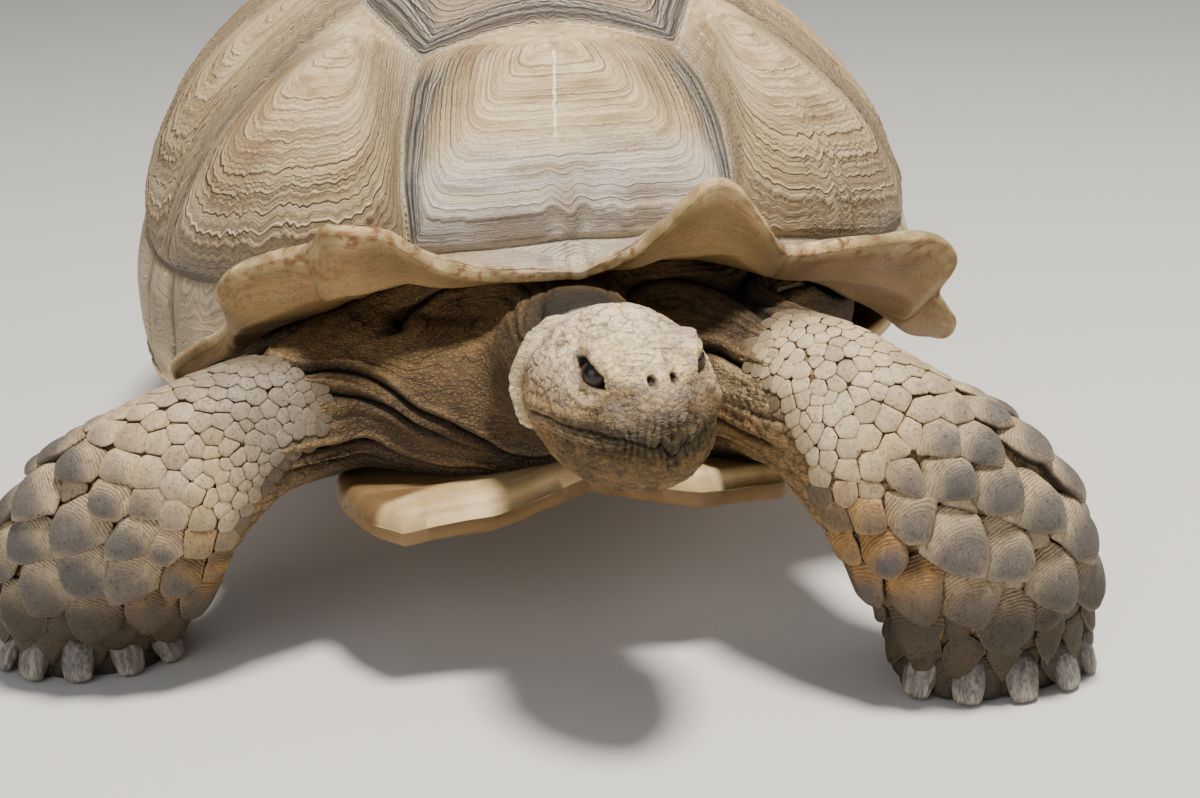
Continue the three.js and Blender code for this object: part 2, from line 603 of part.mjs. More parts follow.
function plastronSurface() {
  const [first, last] = [PLASTRON_HALF[0].y, PLASTRON_HALF.at(-1).y];
  const across = [-1, -0.93, -0.8, -0.6, -0.3, 0, 0.3, 0.6, 0.8, 0.93, 1];
  const lobes = [0, 0.03, 0.08, 0.14, 0.2, 0.26, 0.31];
  const down = [...lobes, 0.36, 0.45, 0.57, 0.69, 0.76, 0.82, 0.88, 0.95, 1];
  const point = (side, t, upper) => {
    const y = lerp(first, last, t);
    const notch = GULAR_NOTCH * Math.max(0, 1 - Math.abs(side) * 1.9) ** 1.2 * Math.max(0, 1 - t * 6);
    const anal = ANAL_NOTCH * Math.max(0, 1 - Math.abs(side) * 1.6) * Math.max(0, 1 - (1 - t) * 8);
    const worn = GULAR_LEFT_SHORT * Math.max(0, side) ** 2 * Math.max(0, 1 - t * 8);
    const thick = lerp(PLASTRON_THICK, GULAR_THICK, clamp((-y - 200) / 170, 0, 1));
    const border = Math.abs(side) > 0.99 || t === 0 || t === 1;
    const share = upper ? (border ? 0.72 : 1) : border ? 0.4 : 0;
    return vec(side * plastronHalf(y), y + notch - anal + worn, undersideAt(side, y) + thick * share);
  };
  return slab(
    down.map((t) => across.map((side) => point(side, t, true))),
    down.map((t) => across.map((side) => point(side, t, false))),
  );
}

// ---------------------------------------------------------------- torso
const TORSO_SINK = 7; // how deep its underside would lie in the plastron
const TORSO_INSET = 10; // the skirt inside the vault's wall

function torsoSurface() {
  const turns = RIM_TURNS.filter((_, i) => i % 4 === 0);
  const low = (inset, rise) => (t) => {
    const p = vaultFoot(t, inset);
    return p.setZ(undersideAt(clamp(p.x / plastronHalf(p.y), -1, 1), p.y) + TORSO_SINK + rise);
  };
  const rows = [
    low(120, 0),
    low(50, 0),
    low(22, 4),
    low(TORSO_INSET, 16),
    (t) => vaultFoot(t, TORSO_INSET).add(vec(0, 0, -14)),
    (t) => vaultFoot(t, GAP * 1.5),
    ...VAULT_ROWS.map((reach) => (t) => domePoint(t, reach, -WALL - GAP)),
  ];
  return loft(rows.map((row) => turns.map((t) => row(t))));
}

// ---------------------------------------------------------------- neck and head
const NECK = [
  { at: vec(0, -215, 168), wide: 62, deep: 52, across: vec(1, 0, 0) },
  { at: vec(-4, -290, 168), wide: 56, deep: 48, across: vec(1, 0, 0) },
  { at: vec(-6, -345, 178), wide: 48, deep: 43, across: vec(1, 0, 0) },
  { at: vec(-4, -385, 186), wide: 44, deep: 40, across: vec(1, 0, 0) },
  { at: vec(2, -410, 190), wide: 38, deep: 34, across: vec(1, 0, 0) },
];

const HEAD_AT = vec(-3, -384, 190); // the middle of the back of the skull
const HEAD_YAW = 12; // turned to the animal's left
const HEAD_PITCH = 3; // nose down
const HEAD_SQUARE = 0.82; // below 1 squares its section
// Sections of the head from the neck to the beak: out is the way forward, half the width, up and down the
// heights from the axis.
const HEAD = [
  { out: 0, half: 42, up: 34, down: 34 },
  { out: 14, half: 46, up: 42, down: 42 },
  { out: 34, half: 48, up: 47, down: 46 },
  { out: 54, half: 47, up: 47, down: 45 },
  { out: 72, half: 42, up: 42, down: 41 },
  { out: 88, half: 33, up: 34, down: 35 },
  { out: 100, half: 23, up: 26, down: 27 },
  { out: 107, half: 13, up: 16, down: 19 },
  { out: 110, half: 6, up: 8, down: 13 },
];
const CROWN_TAPER = 0.28; // how much its sections narrow towards the crown
const JAW_TAPER = 0.14; // and towards the throat
const MOUTH = [
  { out: 33, z: -8 },
  { out: 50, z: -8 },
  { out: 68, z: -8 },
  { out: 88, z: -8 },
  { out: 98, z: -11 },
  { out: 125, z: -15 },
];
const MOUTH_GAP = 0.8; // the line of the closed mouth
const EYE_OUT = 69;
const EYE_ACROSS = 24.5;
const EYE_UP = 26.5;
const EYE_RADIUS = 9;
const EYE_TILT = -38; // the front corner of the eye lies lower
const LID_HALF = [11, 7]; // half the almond between the lids, along and across it
const LID_THICK = 3.4;
const NOSTRIL_ACROSS = 5.5;
const NOSTRIL_OUT = 92;
const NOSTRIL_UP = 28;
const NOSTRIL_RADIUS = 2.2;

const headFrame = new THREE.Matrix4()
  .makeTranslation(HEAD_AT)
  .multiply(new THREE.Matrix4().makeRotationZ(rad(HEAD_YAW)))
  .multiply(new THREE.Matrix4().makeRotationX(rad(HEAD_PITCH)));
const onHead = (across, out, up) => vec(across, -out, up).applyMatrix4(headFrame);

const eyeAt = (sign) => onHead(sign * EYE_ACROSS, EYE_OUT, EYE_UP);

function headSurface() {
  const [half, up, down] = ["half", "up", "down"].map((key) => through(HEAD, "out", key));
  const sides = 24;
  const at = [-8, 0, 14, 24, 34, 44, 54, 63, 72, 80, 88, 95, 101, 106.5, 110];
  return loft(
    at.map((out) =>
      Array.from({ length: sides }, (_, k) => {
        const a = (2 * Math.PI * (k + 0.5)) / sides;
        const c = Math.sign(Math.cos(a)) * Math.abs(Math.cos(a)) ** HEAD_SQUARE;
        const s = Math.sign(Math.sin(a)) * Math.abs(Math.sin(a)) ** HEAD_SQUARE;
        const tall = s > 0 ? up(out) : down(out);
        const end = out < 0 ? 0.7 : 1;
        const wide = half(out) * (1 - (s < 0 ? JAW_TAPER : CROWN_TAPER) * s * s);
        return onHead(c * wide * end, out, s * tall * end);
      }),
    ),
  );
}

// The two lids round an eye, as thick folds along its almond.
function lids(sign) {
  const centre = eyeAt(sign);
  const turned = (x, out, up) => onHead(x, out, up).sub(onHead(0, 0, 0)).normalize();
  const outward = turned(sign * 0.83, 0.45, 0.32);
  const tilt = rad(EYE_TILT);
  const along = turned(0, Math.cos(tilt), Math.sin(tilt));
  along.addScaledVector(outward, -along.dot(outward)).normalize();
  const above = along.clone().cross(outward).multiplyScalar(-sign).normalize();
  const lid = (from, to, thick) =>
    bar(
      steps(from, to, 6).map((a) => ({
        at: centre
          .clone()
          .addScaledVector(outward, EYE_RADIUS * 0.66 - 1.5 * Math.abs(Math.cos(rad(a))))
          .addScaledVector(along, LID_HALF[0] * Math.cos(rad(a)))
          .addScaledVector(above, LID_HALF[1] * Math.sin(rad(a))),
        wide: thick,
        deep: thick * 0.85,
        across: outward,
      })),
      { sides: 6, length: 5 },
    );
  return [lid(-6, 186, LID_THICK * 1.15), lid(174, 366, LID_THICK)];
}

// Everything under and ahead of the line of the mouth.
function jawRegion() {
  const z = through(MOUTH, "out", "z");
  const outs = MOUTH.map((m) => m.out);
  const across = [-70, 0, 70];
  const corner = MOUTH[0].out;
  const back = (out) => (out === corner ? 12 : 0);
  return slab(
    outs.map((out) => across.map((x) => onHead(x, out, z(out)))),
    outs.map((out) => across.map((x) => onHead(x, out + back(out), -80))),
  );
}

// ---------------------------------------------------------------- limbs
// One limb is modelled whole from inside the body to the sole, and parted by thin cuts at the joints.
const across = (x, y, z) => vec(x, y, z).normalize();
const FORELIMBS = {
  left: [
    { at: vec(92, -225, 150), wide: 46, deep: 50, across: across(0.6, 0, 0.8) },
    { at: vec(106, -312, 152), wide: 46, deep: 46, across: across(0.7, 0, 0.7) },
    { at: vec(128, -380, 156), wide: 46, deep: 42, across: across(0.77, 0, 0.64) },
    { at: vec(152, -408, 136), wide: 54, deep: 38, across: across(0.77, 0, 0.64) },
    { at: vec(184, -424, 104), wide: 58, deep: 34, across: across(0.8, 0, 0.6) },
    { at: vec(207, -424, 66), wide: 57, deep: 32, across: across(0.92, 0, 0.4) },
    { at: vec(213, -414, 30), wide: 54, deep: 34, across: across(1, 0, 0.1) },
    { at: vec(214, -408, -10), wide: 52, deep: 36, across: across(1, 0, 0) },
  ],
  right: [
    { at: vec(-92, -205, 150), wide: 50, deep: 50, across: across(-0.5, 0, 0.86) },
    { at: vec(-140, -270, 146), wide: 44, deep: 46, across: across(-0.4, 0, 0.9) },
    { at: vec(-196, -306, 140), wide: 42, deep: 42, across: across(-0.5, 0, 0.86) },
    { at: vec(-234, -320, 120), wide: 52, deep: 38, across: across(-0.64, 0, 0.77) },
    { at: vec(-266, -316, 92), wide: 56, deep: 34, across: across(-0.74, 0, 0.67) },
    { at: vec(-288, -298, 58), wide: 53, deep: 32, across: across(-0.9, 0, 0.4) },
    { at: vec(-294, -280, 28), wide: 50, deep: 33, across: across(-1, 0, 0.1) },
    { at: vec(-295, -272, -10), wide: 48, deep: 35, across: across(-1, 0, 0) },
  ],
};
const HINDLIMBS = {
  left: [
    { at: vec(95, 190, 150), wide: 60, deep: 50, across: across(0, 1, 0) },
    { at: vec(150, 222, 140), wide: 62, deep: 48, across: across(-0.2, 1, 0) },
    { at: vec(192, 244, 110), wide: 56, deep: 44, across: across(-0.2, 1, 0) },
    { at: vec(206, 256, 70), wide: 47, deep: 43, across: across(-0.1, 1, 0) },
    { at: vec(206, 258, 30), wide: 47, deep: 45, across: across(0, 1, 0) },
    { at: vec(206, 256, -10), wide: 48, deep: 46, across: across(0, 1, 0) },
  ],
  right: [
    { at: vec(-95, 160, 150), wide: 60, deep: 50, across: across(0, 1, 0) },
    { at: vec(-150, 176, 140), wide: 62, deep: 48, across: across(0, 1, 0) },
    { at: vec(-192, 178, 110), wide: 56, deep: 44, across: across(0, 1, 0) },
    { at: vec(-205, 170, 70), wide: 47, deep: 43, across: across(0, 1, 0) },
    { at: vec(-206, 166, 30), wide: 47, deep: 45, across: across(0, 1, 0) },
    { at: vec(-206, 164, -10), wide: 48, deep: 46, across: across(0, 1, 0) },
  ],
};
// Where a limb is parted, as stations along it.
const FORE_CUTS = [2.1, 5.35];
const FORE_SCALES = [2.4, 4.95]; // the first and last row of scales
const LIMB_SQUARE = 0.85; // below 1 squares a foreleg's section
const HIND_CUTS = [2.3, 3.6];

const CLAW_LENGTH = 24; // clear of the foot
const CLAW_HALF = 10;
const CLAW_CLEAR = 1.5; // the tips over the floor
const FRONT_CLAWS = 5;
const HIND_CLAWS = 4;

// The planes that stand across a limb at the given stations.
const planesAt = (stations, cuts) => cuts.map((place) => course(stations).frame(place));
const beyond = (s, { at, lie }) => s.trimByPlane(lie.toArray(), at.dot(lie) + GAP / 2);
const before = (s, { at, lie }) => s.trimByPlane(lie.clone().negate().toArray(), -at.dot(lie) + GAP / 2);
const betweenCuts = (s, stations, cuts) => {
  const [start, end] = planesAt(stations, cuts);
  return before(beyond(s, start), end);
};

// The three pieces of a whole limb.
function parted(whole, stations, cuts) {
  const [start, end] = planesAt(stations, cuts);
  return [before(whole, start), betweenCuts(whole, stations, cuts), beyond(whole, end)].map(largest);
}

// A horny scale on a surface: it lies from its sunk root to a lifted, blunt tip along the way lie. Its
// outline is given across and along it.
const SCALE_OUTLINE = [
  [-0.42, -0.5],
  [0.42, -0.5],
  [0.5, 0.05],
  [0.2, 0.47],
  [-0.2, 0.47],
  [-0.5, 0.05],
];
const SCALE_SUNK = 7;
const SCALE_CROWN = 2.5; // how high its middle stands over its outline
function scale(at, normal, lie, { wide, long, tip }) {
  const side = normal.clone().cross(lie).normalize();
  const flow = side.clone().cross(normal).normalize();
  const place = (u, v, height) =>
    at
      .clone()
      .addScaledVector(side, u * wide)
      .addScaledVector(flow, v * long)
      .addScaledVector(normal, height);
  const rim = SCALE_OUTLINE.map(([u, v]) => place(u, v, tip * (v + 0.5) * 0.8));
  const base = SCALE_OUTLINE.map(([u, v]) => place(u * 0.9, v * 0.9 - 0.05, -SCALE_SUNK));
  const n = rim.length;
  const faces = [];
  strips(faces, 0, 2, n);
  for (let k = 0; k < n; k++) {
    const next = (k + 1) % n;
    faces.push(next, k, 2 * n, n + k, n + next, 2 * n + 1);
  }
  const middles = [place(0, 0, -SCALE_SUNK), place(0, 0.08, tip * 0.6 + SCALE_CROWN)];
  return closed([...base, ...rim, ...middles], faces);
}

// The forearm's shield of scales, in rows that overlap towards the foot and grow in size.
const SCALE_SIZE = { wide: 35, long: 38, tip: 7 };
const SCALE_ROWS = 6;
const SCALES_ACROSS = 5;
const SCALE_ARC = [-36, 172]; // degrees round the limb, with 90 at its front
function foreScales(stations, [from, to], square, sign) {
  const { point, frame } = course(stations, square);
  return steps(from, to, SCALE_ROWS - 1).flatMap((place, row) => {
    const shift = row % 2 ? 0.5 : 0;
    return steps(0, SCALES_ACROSS - 1, SCALES_ACROSS - 1).map((k) => {
      const share = (k + shift + 0.1 * Math.sin(3 * row + 2 * k)) / (SCALES_ACROSS - 0.5);
      const angle = sign * rad(lerp(...SCALE_ARC, share));
      const at = point(place, angle);
      const round = point(place, angle + sign * 0.1).sub(point(place, angle - sign * 0.1));
      const { lie } = frame(place);
      const normal = round.cross(lie).multiplyScalar(-sign).normalize();
      if (normal.dot(at.clone().sub(frame(place).at)) < 0) normal.negate();
      const size = lerp(0.66, 1, Math.min(1, row / 3)) * (0.92 + 0.16 * random());
      const sized = Object.entries(SCALE_SIZE).map(([key, value]) => [key, value * size]);
      return scale(at, normal, lie, Object.fromEntries(sized));
    });
  });
}

// The big cone-shaped scales on the back of each thigh.
const SPURS = [
  { place: 1.55, angle: -25, long: 26 },
  { place: 1.95, angle: -8, long: 20 },
  { place: 1.7, angle: 8, long: 16 },
];
function spurs(stations) {
  const { point, frame } = course(stations);
  return SPURS.map(({ place, angle, long }) => {
    const root = point(place, rad(angle), 0.75);
    const out = root.clone().sub(frame(place).at).normalize().add(vec(0, 0.2, -0.45)).normalize();
    const side = out.clone().cross(vec(0, 0, 1)).normalize();
    const station = (along, half) => ({
      at: root.clone().addScaledVector(out, along),
      wide: half,
      deep: half * 0.8,
      across: side,
    });
    const stations = [station(0, 9), station(long * 0.7, 7.5), station(long * 1.2, 3.5)];
    return bar(stations, { sides: 7, length: 2 });
  });
}

// Claws stand round the front of a foot, from facing to facing degrees, with 0 along -Y.
function claws(foot, at, [wide, deep], [from, to], count) {
  return steps(from, to, count - 1).map((facing) => {
    const way = vec(Math.sin(rad(facing)), -Math.cos(rad(facing)), 0);
    const root = at.clone().add(vec(way.x * wide, way.y * deep, 0));
    const side = vec(-way.y, way.x, 0);
    const station = (out, z, size) => ({
      at: root.clone().addScaledVector(way, out * CLAW_LENGTH).setZ(z),
      wide: CLAW_HALF * size,
      deep: CLAW_HALF * size * 0.85,
      across: side,
    });
    const tip = CLAW_CLEAR + CLAW_HALF * 0.64;
    const rootEnd = [station(-0.5, 18, 1), station(0.15, 17, 1.05)];
    const tipEnd = [station(0.6, 12.5, 0.98), station(0.9, tip, 0.74)];
    const claw = bar([...rootEnd, ...tipEnd], { sides: 7, length: 2, square: 0.9 });
    return largest(cut(claw, grown(foot)));
  });
}

// ---------------------------------------------------------------- tail
const TAIL = [
  { at: vec(0, 262, 142), wide: 36, deep: 30, across: vec(1, 0, 0) },
  { at: vec(2, 305, 122), wide: 28, deep: 24, across: vec(1, 0, 0) },
  { at: vec(8, 335, 96), wide: 19, deep: 17, across: vec(1, 0.2, 0) },
  { at: vec(18, 350, 66), wide: 11, deep: 10, across: vec(1, 0.3, 0) },
  { at: vec(24, 352, 46), wide: 5, deep: 5, across: vec(1, 0.3, 0) },
];

// ---------------------------------------------------------------- assembly
const tortoise = new THREE.Group();
const standing = new THREE.Group();
standing.position.copy(FRAME_SHIFT);
tortoise.add(standing);

function add(name, shape, look) {
  const geometry = shape.isBufferGeometry ? shape : geometryOf(shape);
  const flat = geometry.clone();
  flat.computeVertexNormals();
  const mesh = new THREE.Mesh(flat, new THREE.MeshStandardMaterial({ metalness: 0, ...look }));
  mesh.name = name;
  standing.add(mesh);
  return shape;
}

// Each body is cut by the whole, uncut shapes of the ones it meets, so that the gaps stay even.
const carapace = carapaceSurface();
const clearOfShell = [grown(carapace), grown(plastronSurface())];
const clearOfTrunk = [...clearOfShell, grown(torsoSurface())];
add("carapace", carapace, HORN);
add("plastron", largest(cut(plastronSurface(), clearOfShell[0])), BELLY_HORN);
add("torso", largest(cut(torsoSurface(), clearOfShell[1])), SKIN);

const eyes = [1, -1].map((side) => ball(eyeAt(side), EYE_RADIUS, [14, 8]));
const nostrils = [1, -1].map((side) =>
  ball(onHead(side * NOSTRIL_ACROSS, NOSTRIL_OUT, NOSTRIL_UP), NOSTRIL_RADIUS, [8, 6]),
);
const lidded = joined(headSurface(), [1, -1].flatMap(lids));
const mouth = grown(jawRegion(), MOUTH_GAP);
const neckShape = bar(NECK, { sides: 16, length: 8 });
add("neck", largest(cut(neckShape, ...clearOfTrunk, grown(headSurface()))), SKIN);
add("head", largest(cut(lidded, mouth, ...nostrils, ...eyes.map((eye) => grown(eye)))), HEAD_SKIN);
add("lower_jaw", largest(solid(headSurface()).intersect(solid(jawRegion()))), HEAD_SKIN);
add("eye_left", eyes[0], EYE);
add("eye_right", eyes[1], EYE);
add("tail", largest(cut(bar(TAIL, { sides: 12, length: 7 }), ...clearOfTrunk)), LEG_SKIN);

const floorCut = (s) => s.trimByPlane([0, 0, 1], 0);
for (const side of ["left", "right"]) {
  const sign = side === "left" ? 1 : -1;
  const fore = FORELIMBS[side];
  const foreShape = bar(fore, { sides: 16, length: 14, square: LIMB_SQUARE });
  const foreWhole = floorCut(cut(foreShape, ...clearOfTrunk, grown(neckShape)));
  const [upper, forearm, foot] = parted(foreWhole, fore, FORE_CUTS);
  add("upper_arm_" + side, upper, LEG_SKIN);
  const scales = foreScales(fore, FORE_SCALES, LIMB_SQUARE, sign);
  const scaled = joined(forearm, scales);
  add("forearm_" + side, largest(betweenCuts(scaled, fore, FORE_CUTS)), LEG_SKIN);
  add("front_foot_" + side, foot, LEG_SKIN);
  const palm = fore[6];
  const frontSize = [palm.wide - 8, palm.deep - 6];
  const frontFacing = [-62 + sign * 8, 62 + sign * 8];
  claws(foreShape, palm.at, frontSize, frontFacing, FRONT_CLAWS).forEach((claw, i) =>
    add("front_claw_" + side + "_" + (i + 1), claw, CLAW_HORN),
  );
  const hind = HINDLIMBS[side];
  const hindShape = bar(hind, { sides: 14, length: 11 });
  const hindWhole = floorCut(cut(hindShape, ...clearOfTrunk));
  const [thigh, shin, hindFoot] = parted(hindWhole, hind, HIND_CUTS);
  const spurred = joined(thigh, spurs(hind));
  add("thigh_" + side, largest(cut(spurred, ...clearOfTrunk)), LEG_SKIN);
  add("shin_" + side, shin, LEG_SKIN);
  add("hind_foot_" + side, hindFoot, LEG_SKIN);
  const pad = hind[4];
  const hindSize = [pad.deep - 8, pad.wide - 8];
  const hindFacing = [-48 + sign * 6, 48 + sign * 6];
  claws(hindShape, pad.at, hindSize, hindFacing, HIND_CLAWS).forEach((claw, i) =>
    add("hind_claw_" + side + "_" + (i + 1), claw, CLAW_HORN),
  );
}

export default tortoise;
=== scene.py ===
"""The looks of a life-size adult sulcata tortoise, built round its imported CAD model.

Lengths are millimetres in the animal's own standing frame until they go into a mesh: +Z up, the floor at
z = 0, the head towards -Y and the animal's left towards +X. The forms follow the CAD's named sizes.
"""

import math
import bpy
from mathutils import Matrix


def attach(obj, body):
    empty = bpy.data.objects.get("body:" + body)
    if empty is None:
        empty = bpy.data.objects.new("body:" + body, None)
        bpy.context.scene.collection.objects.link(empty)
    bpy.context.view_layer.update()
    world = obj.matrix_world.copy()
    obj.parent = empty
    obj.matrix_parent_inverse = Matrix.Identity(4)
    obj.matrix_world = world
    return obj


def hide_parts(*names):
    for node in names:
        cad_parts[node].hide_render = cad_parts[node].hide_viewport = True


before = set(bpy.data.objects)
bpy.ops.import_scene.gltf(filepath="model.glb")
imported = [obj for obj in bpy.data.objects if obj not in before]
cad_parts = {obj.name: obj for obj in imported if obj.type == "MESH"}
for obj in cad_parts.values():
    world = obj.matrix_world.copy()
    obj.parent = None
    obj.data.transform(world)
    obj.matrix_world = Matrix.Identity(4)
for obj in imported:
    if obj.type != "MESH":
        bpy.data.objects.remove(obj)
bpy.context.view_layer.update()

from types import SimpleNamespace

import bmesh
import bpy
import numpy as np
from mathutils import Matrix, Vector

MM = 0.001
FRAME_SHIFT = np.array([38.5, 65.5, 0.0])  # the standing frame's origin in the part's frame

# ---------------------------------------------------------------- small maths


def unit(v):
    v = np.asarray(v, float)
    return v / np.maximum(np.linalg.norm(v, axis=-1, keepdims=True), 1e-9)


def xyz(x, y=0, z=0):
    """Points from their coordinates, which are arrays or numbers."""
    return np.stack(np.broadcast_arrays(x, y, z), -1)


def bent(v, power):
    """v with its size raised to a power and its sign kept."""
    return np.sign(v) * np.abs(v) ** power


def lerp(a, b, t):
    return a + (b - a) * t


def ease(low, high, x):
    """A smooth step from 0 at low to 1 at high."""
    t = np.clip((np.asarray(x, float) - low) / (high - low), 0, 1)
    return t * t * (3 - 2 * t)


def bump(x, middle, half):
    """1 at middle, falling smoothly to 0 at half away from it."""
    return ease(1, 0, np.abs(np.asarray(x, float) - middle) / half)


def through(x, y):
    """A smooth curve through the values y at x, clamped at both ends."""
    x, y = np.asarray(x, float), np.asarray(y, float)
    before, after = np.maximum(np.arange(len(x)) - 1, 0), np.minimum(np.arange(len(x)) + 1, len(x) - 1)
    slope = (y[after] - y[before]) / (x[after] - x[before])

    def at(t):
        t = np.clip(np.asarray(t, float), x[0], x[-1])
        i = np.clip(np.searchsorted(x, t, side="right") - 1, 0, len(x) - 2)
        w = x[i + 1] - x[i]
        u = (t - x[i]) / w
        ends = y[i] * (1 + 2 * u) * (1 - u) ** 2 + y[i + 1] * u * u * (3 - 2 * u)
        return ends + slope[i] * w * u * (1 - u) ** 2 + slope[i + 1] * w * u * u * (u - 1)

    return at


def lattice(cell, seed):
    """A repeatable number from 0 to 1 for each whole-numbered cell."""
    c = cell.astype(np.int64)
    h = c[..., 0] * 73856093 ^ c[..., 1] * 19349663 ^ c[..., 2] * 83492791 ^ seed * 2654435761
    h = (h ^ (h >> 13)) * 1274126177
    h = h ^ (h >> 16)
    return (h & 0xFFFFFF) / float(0xFFFFFF)


def noise(points, size, seed=0):
    """Smooth noise from -1 to 1 with features of the given size."""
    q = np.asarray(points, float) / size
    base = np.floor(q)
    f = q - base
    f = f * f * (3 - 2 * f)
    total = 0
    for k in range(8):
        corner = np.array([k & 1, k >> 1 & 1, k >> 2 & 1])
        weight = np.prod(np.where(corner, f, 1 - f), axis=-1)
        total = total + weight * lattice(base + corner, seed)
    return total * 2 - 1


def rough(points, size, octaves=3, seed=0):
    """Noise with finer noise added to it, about -1 to 1."""
    return sum(noise(points, size / 2**k, seed + 17 * k) * 0.5**k for k in range(octaves)) / 1.6


def cells(points, size, seed=0, jitter=0.85):
    """For each point its distances to the nearest and second nearest seed of a jittered grid, and the nearest
    seed's own number."""
    q = np.asarray(points, float) / size
    near, second, own = (np.full(len(q), v) for v in (9.0, 9.0, 0.0))
    base = np.floor(q)
    for k in range(27):
        cell = base + np.array([k % 3, k // 3 % 3, k // 9]) - 1
        spread = np.stack([lattice(cell, seed + 101 * a) for a in (1, 2, 3)], -1)
        d = np.linalg.norm(cell + 0.5 + (spread - 0.5) * jitter - q, axis=-1)
        closer = d < near
        second = np.where(closer, near, np.minimum(second, d))
        own = np.where(closer, lattice(cell, seed + 7), own)
        near = np.where(closer, d, near)
    return near * size, second * size, own


# ---------------------------------------------------------------- meshes


def write_fields(mesh, fields):
    """Gives each point of a mesh the named numbers or colours."""
    for key, value in fields.items():
        value = np.asarray(value, np.float32)
        if value.ndim == 1:
            kind, field = "FLOAT", "value"
        else:
            kind, field = "FLOAT_COLOR", "color"
            value = np.concatenate([value, np.ones((len(value), 1), np.float32)], 1)
        mesh.attributes.new(key, kind, "POINT").data.foreach_set(field, value.ravel())


def shown_object(name, mesh):
    made = bpy.data.objects.new(name, mesh)
    bpy.context.scene.collection.objects.link(made)
    return made


def mesh_object(name, points, faces, material=None, smooth=True, **fields):
    """An object from points in millimetres, arrays of faces and a value of each field per point."""
    faces = [np.asarray(f, np.int32) for f in (faces if isinstance(faces, list) else [faces])]
    mesh = bpy.data.meshes.new(name)
    co = (np.asarray(points, float) + FRAME_SHIFT) * MM
    loops = np.concatenate([f.ravel() for f in faces])
    totals = np.concatenate([np.full(len(f), f.shape[1], np.int32) for f in faces])
    mesh.vertices.add(len(co))
    mesh.vertices.foreach_set("co", co.astype(np.float32).ravel())
    mesh.loops.add(len(loops))
    mesh.loops.foreach_set("vertex_index", loops)
    mesh.polygons.add(len(totals))
    mesh.polygons.foreach_set("loop_start", np.concatenate([[0], np.cumsum(totals)[:-1]]).astype(np.int32))
    mesh.update(calc_edges=True)
    mesh.validate()
    mesh.polygons.foreach_set("use_smooth", np.full(len(mesh.polygons), smooth))
    write_fields(mesh, fields)
    if material:
        mesh.materials.append(material)
    return shown_object(name, mesh)


def grid_faces(rows, columns, closed=False, flip=False):
    """Quads of a grid of points, rows by columns, closed round its columns if asked."""
    r, c = np.meshgrid(np.arange(rows - 1), np.arange(columns if closed else columns - 1), indexing="ij")
    nxt = (c + 1) % columns
    near, far = r * columns, (r + 1) * columns
    quads = np.stack([near + c, near + nxt, far + nxt, far + c], -1).reshape(-1, 4)
    return quads[:, ::-1] if flip else quads


def fan(ring, tip):
    """Triangles from a closed ring of point numbers to one point."""
    return xyz(ring, np.roll(ring, -1), tip)


def loft(rings):
    """Rings of points, rows by columns by 3, joined round and capped at both ends."""
    rows, columns = rings.shape[:2]
    points = np.concatenate([rings.reshape(-1, 3), rings[:1].mean(1), rings[-1:].mean(1)])
    k = np.arange(columns)
    near, far = fan(k, rows * columns)[:, [1, 0, 2]], fan((rows - 1) * columns + k, rows * columns + 1)
    return points, [grid_faces(rows, columns, closed=True), np.concatenate([near, far])]


def arrays_of(mesh):
    """A mesh's points in millimetres of the standing frame, and its edges."""
    co = np.zeros(len(mesh.vertices) * 3, np.float32)
    mesh.vertices.foreach_get("co", co)
    edges = np.zeros(len(mesh.edges) * 2, np.int32)
    mesh.edges.foreach_get("vertices", edges)
    return co.reshape(-1, 3).astype(float) / MM - FRAME_SHIFT, edges.reshape(-1, 2)


def spread(values, edges, rounds, share=0.5):
    """Values averaged with their neighbours' along the edges."""
    count = np.bincount(edges.ravel(), minlength=len(values)).astype(float)
    flat = values.reshape(len(values), -1)
    for _ in range(rounds):
        mean = np.empty_like(flat)
        for k in range(flat.shape[1]):
            column = flat[:, k]
            both = np.concatenate([column[edges[:, 1]], column[edges[:, 0]]])
            mean[:, k] = np.bincount(np.concatenate([edges[:, 0], edges[:, 1]]), both, minlength=len(values))
        flat = lerp(flat, mean / np.maximum(count, 1)[:, None], np.reshape(share, (-1, 1)))
    return flat.reshape(values.shape)


def normals_of(mesh):
    n = np.zeros(len(mesh.vertices) * 3, np.float32)
    mesh.vertex_normals.foreach_get("vector", n)
    return n.reshape(-1, 3).astype(float)


def write_points(mesh, points):
    mesh.vertices.foreach_set("co", ((points + FRAME_SHIFT) * MM).astype(np.float32).ravel())
    mesh.update()


# ---------------------------------------------------------------- the shell's surface, as in the CAD
SHELL_TOP = 392
SHELL_HALF_WIDTH = 254
SHELL_FRONT = 300
SHELL_BACK = 315
PLAN_POWER = 0.75
DOME_POWER_SIDE = 1.72
DOME_POWER_END = 1.9
PLATE_RISE = 2.4
SCUTE_BULGE = 5
WALL = 14
RIM_ROOT = 20
RIM_EDGE = 6
BELLY = 80

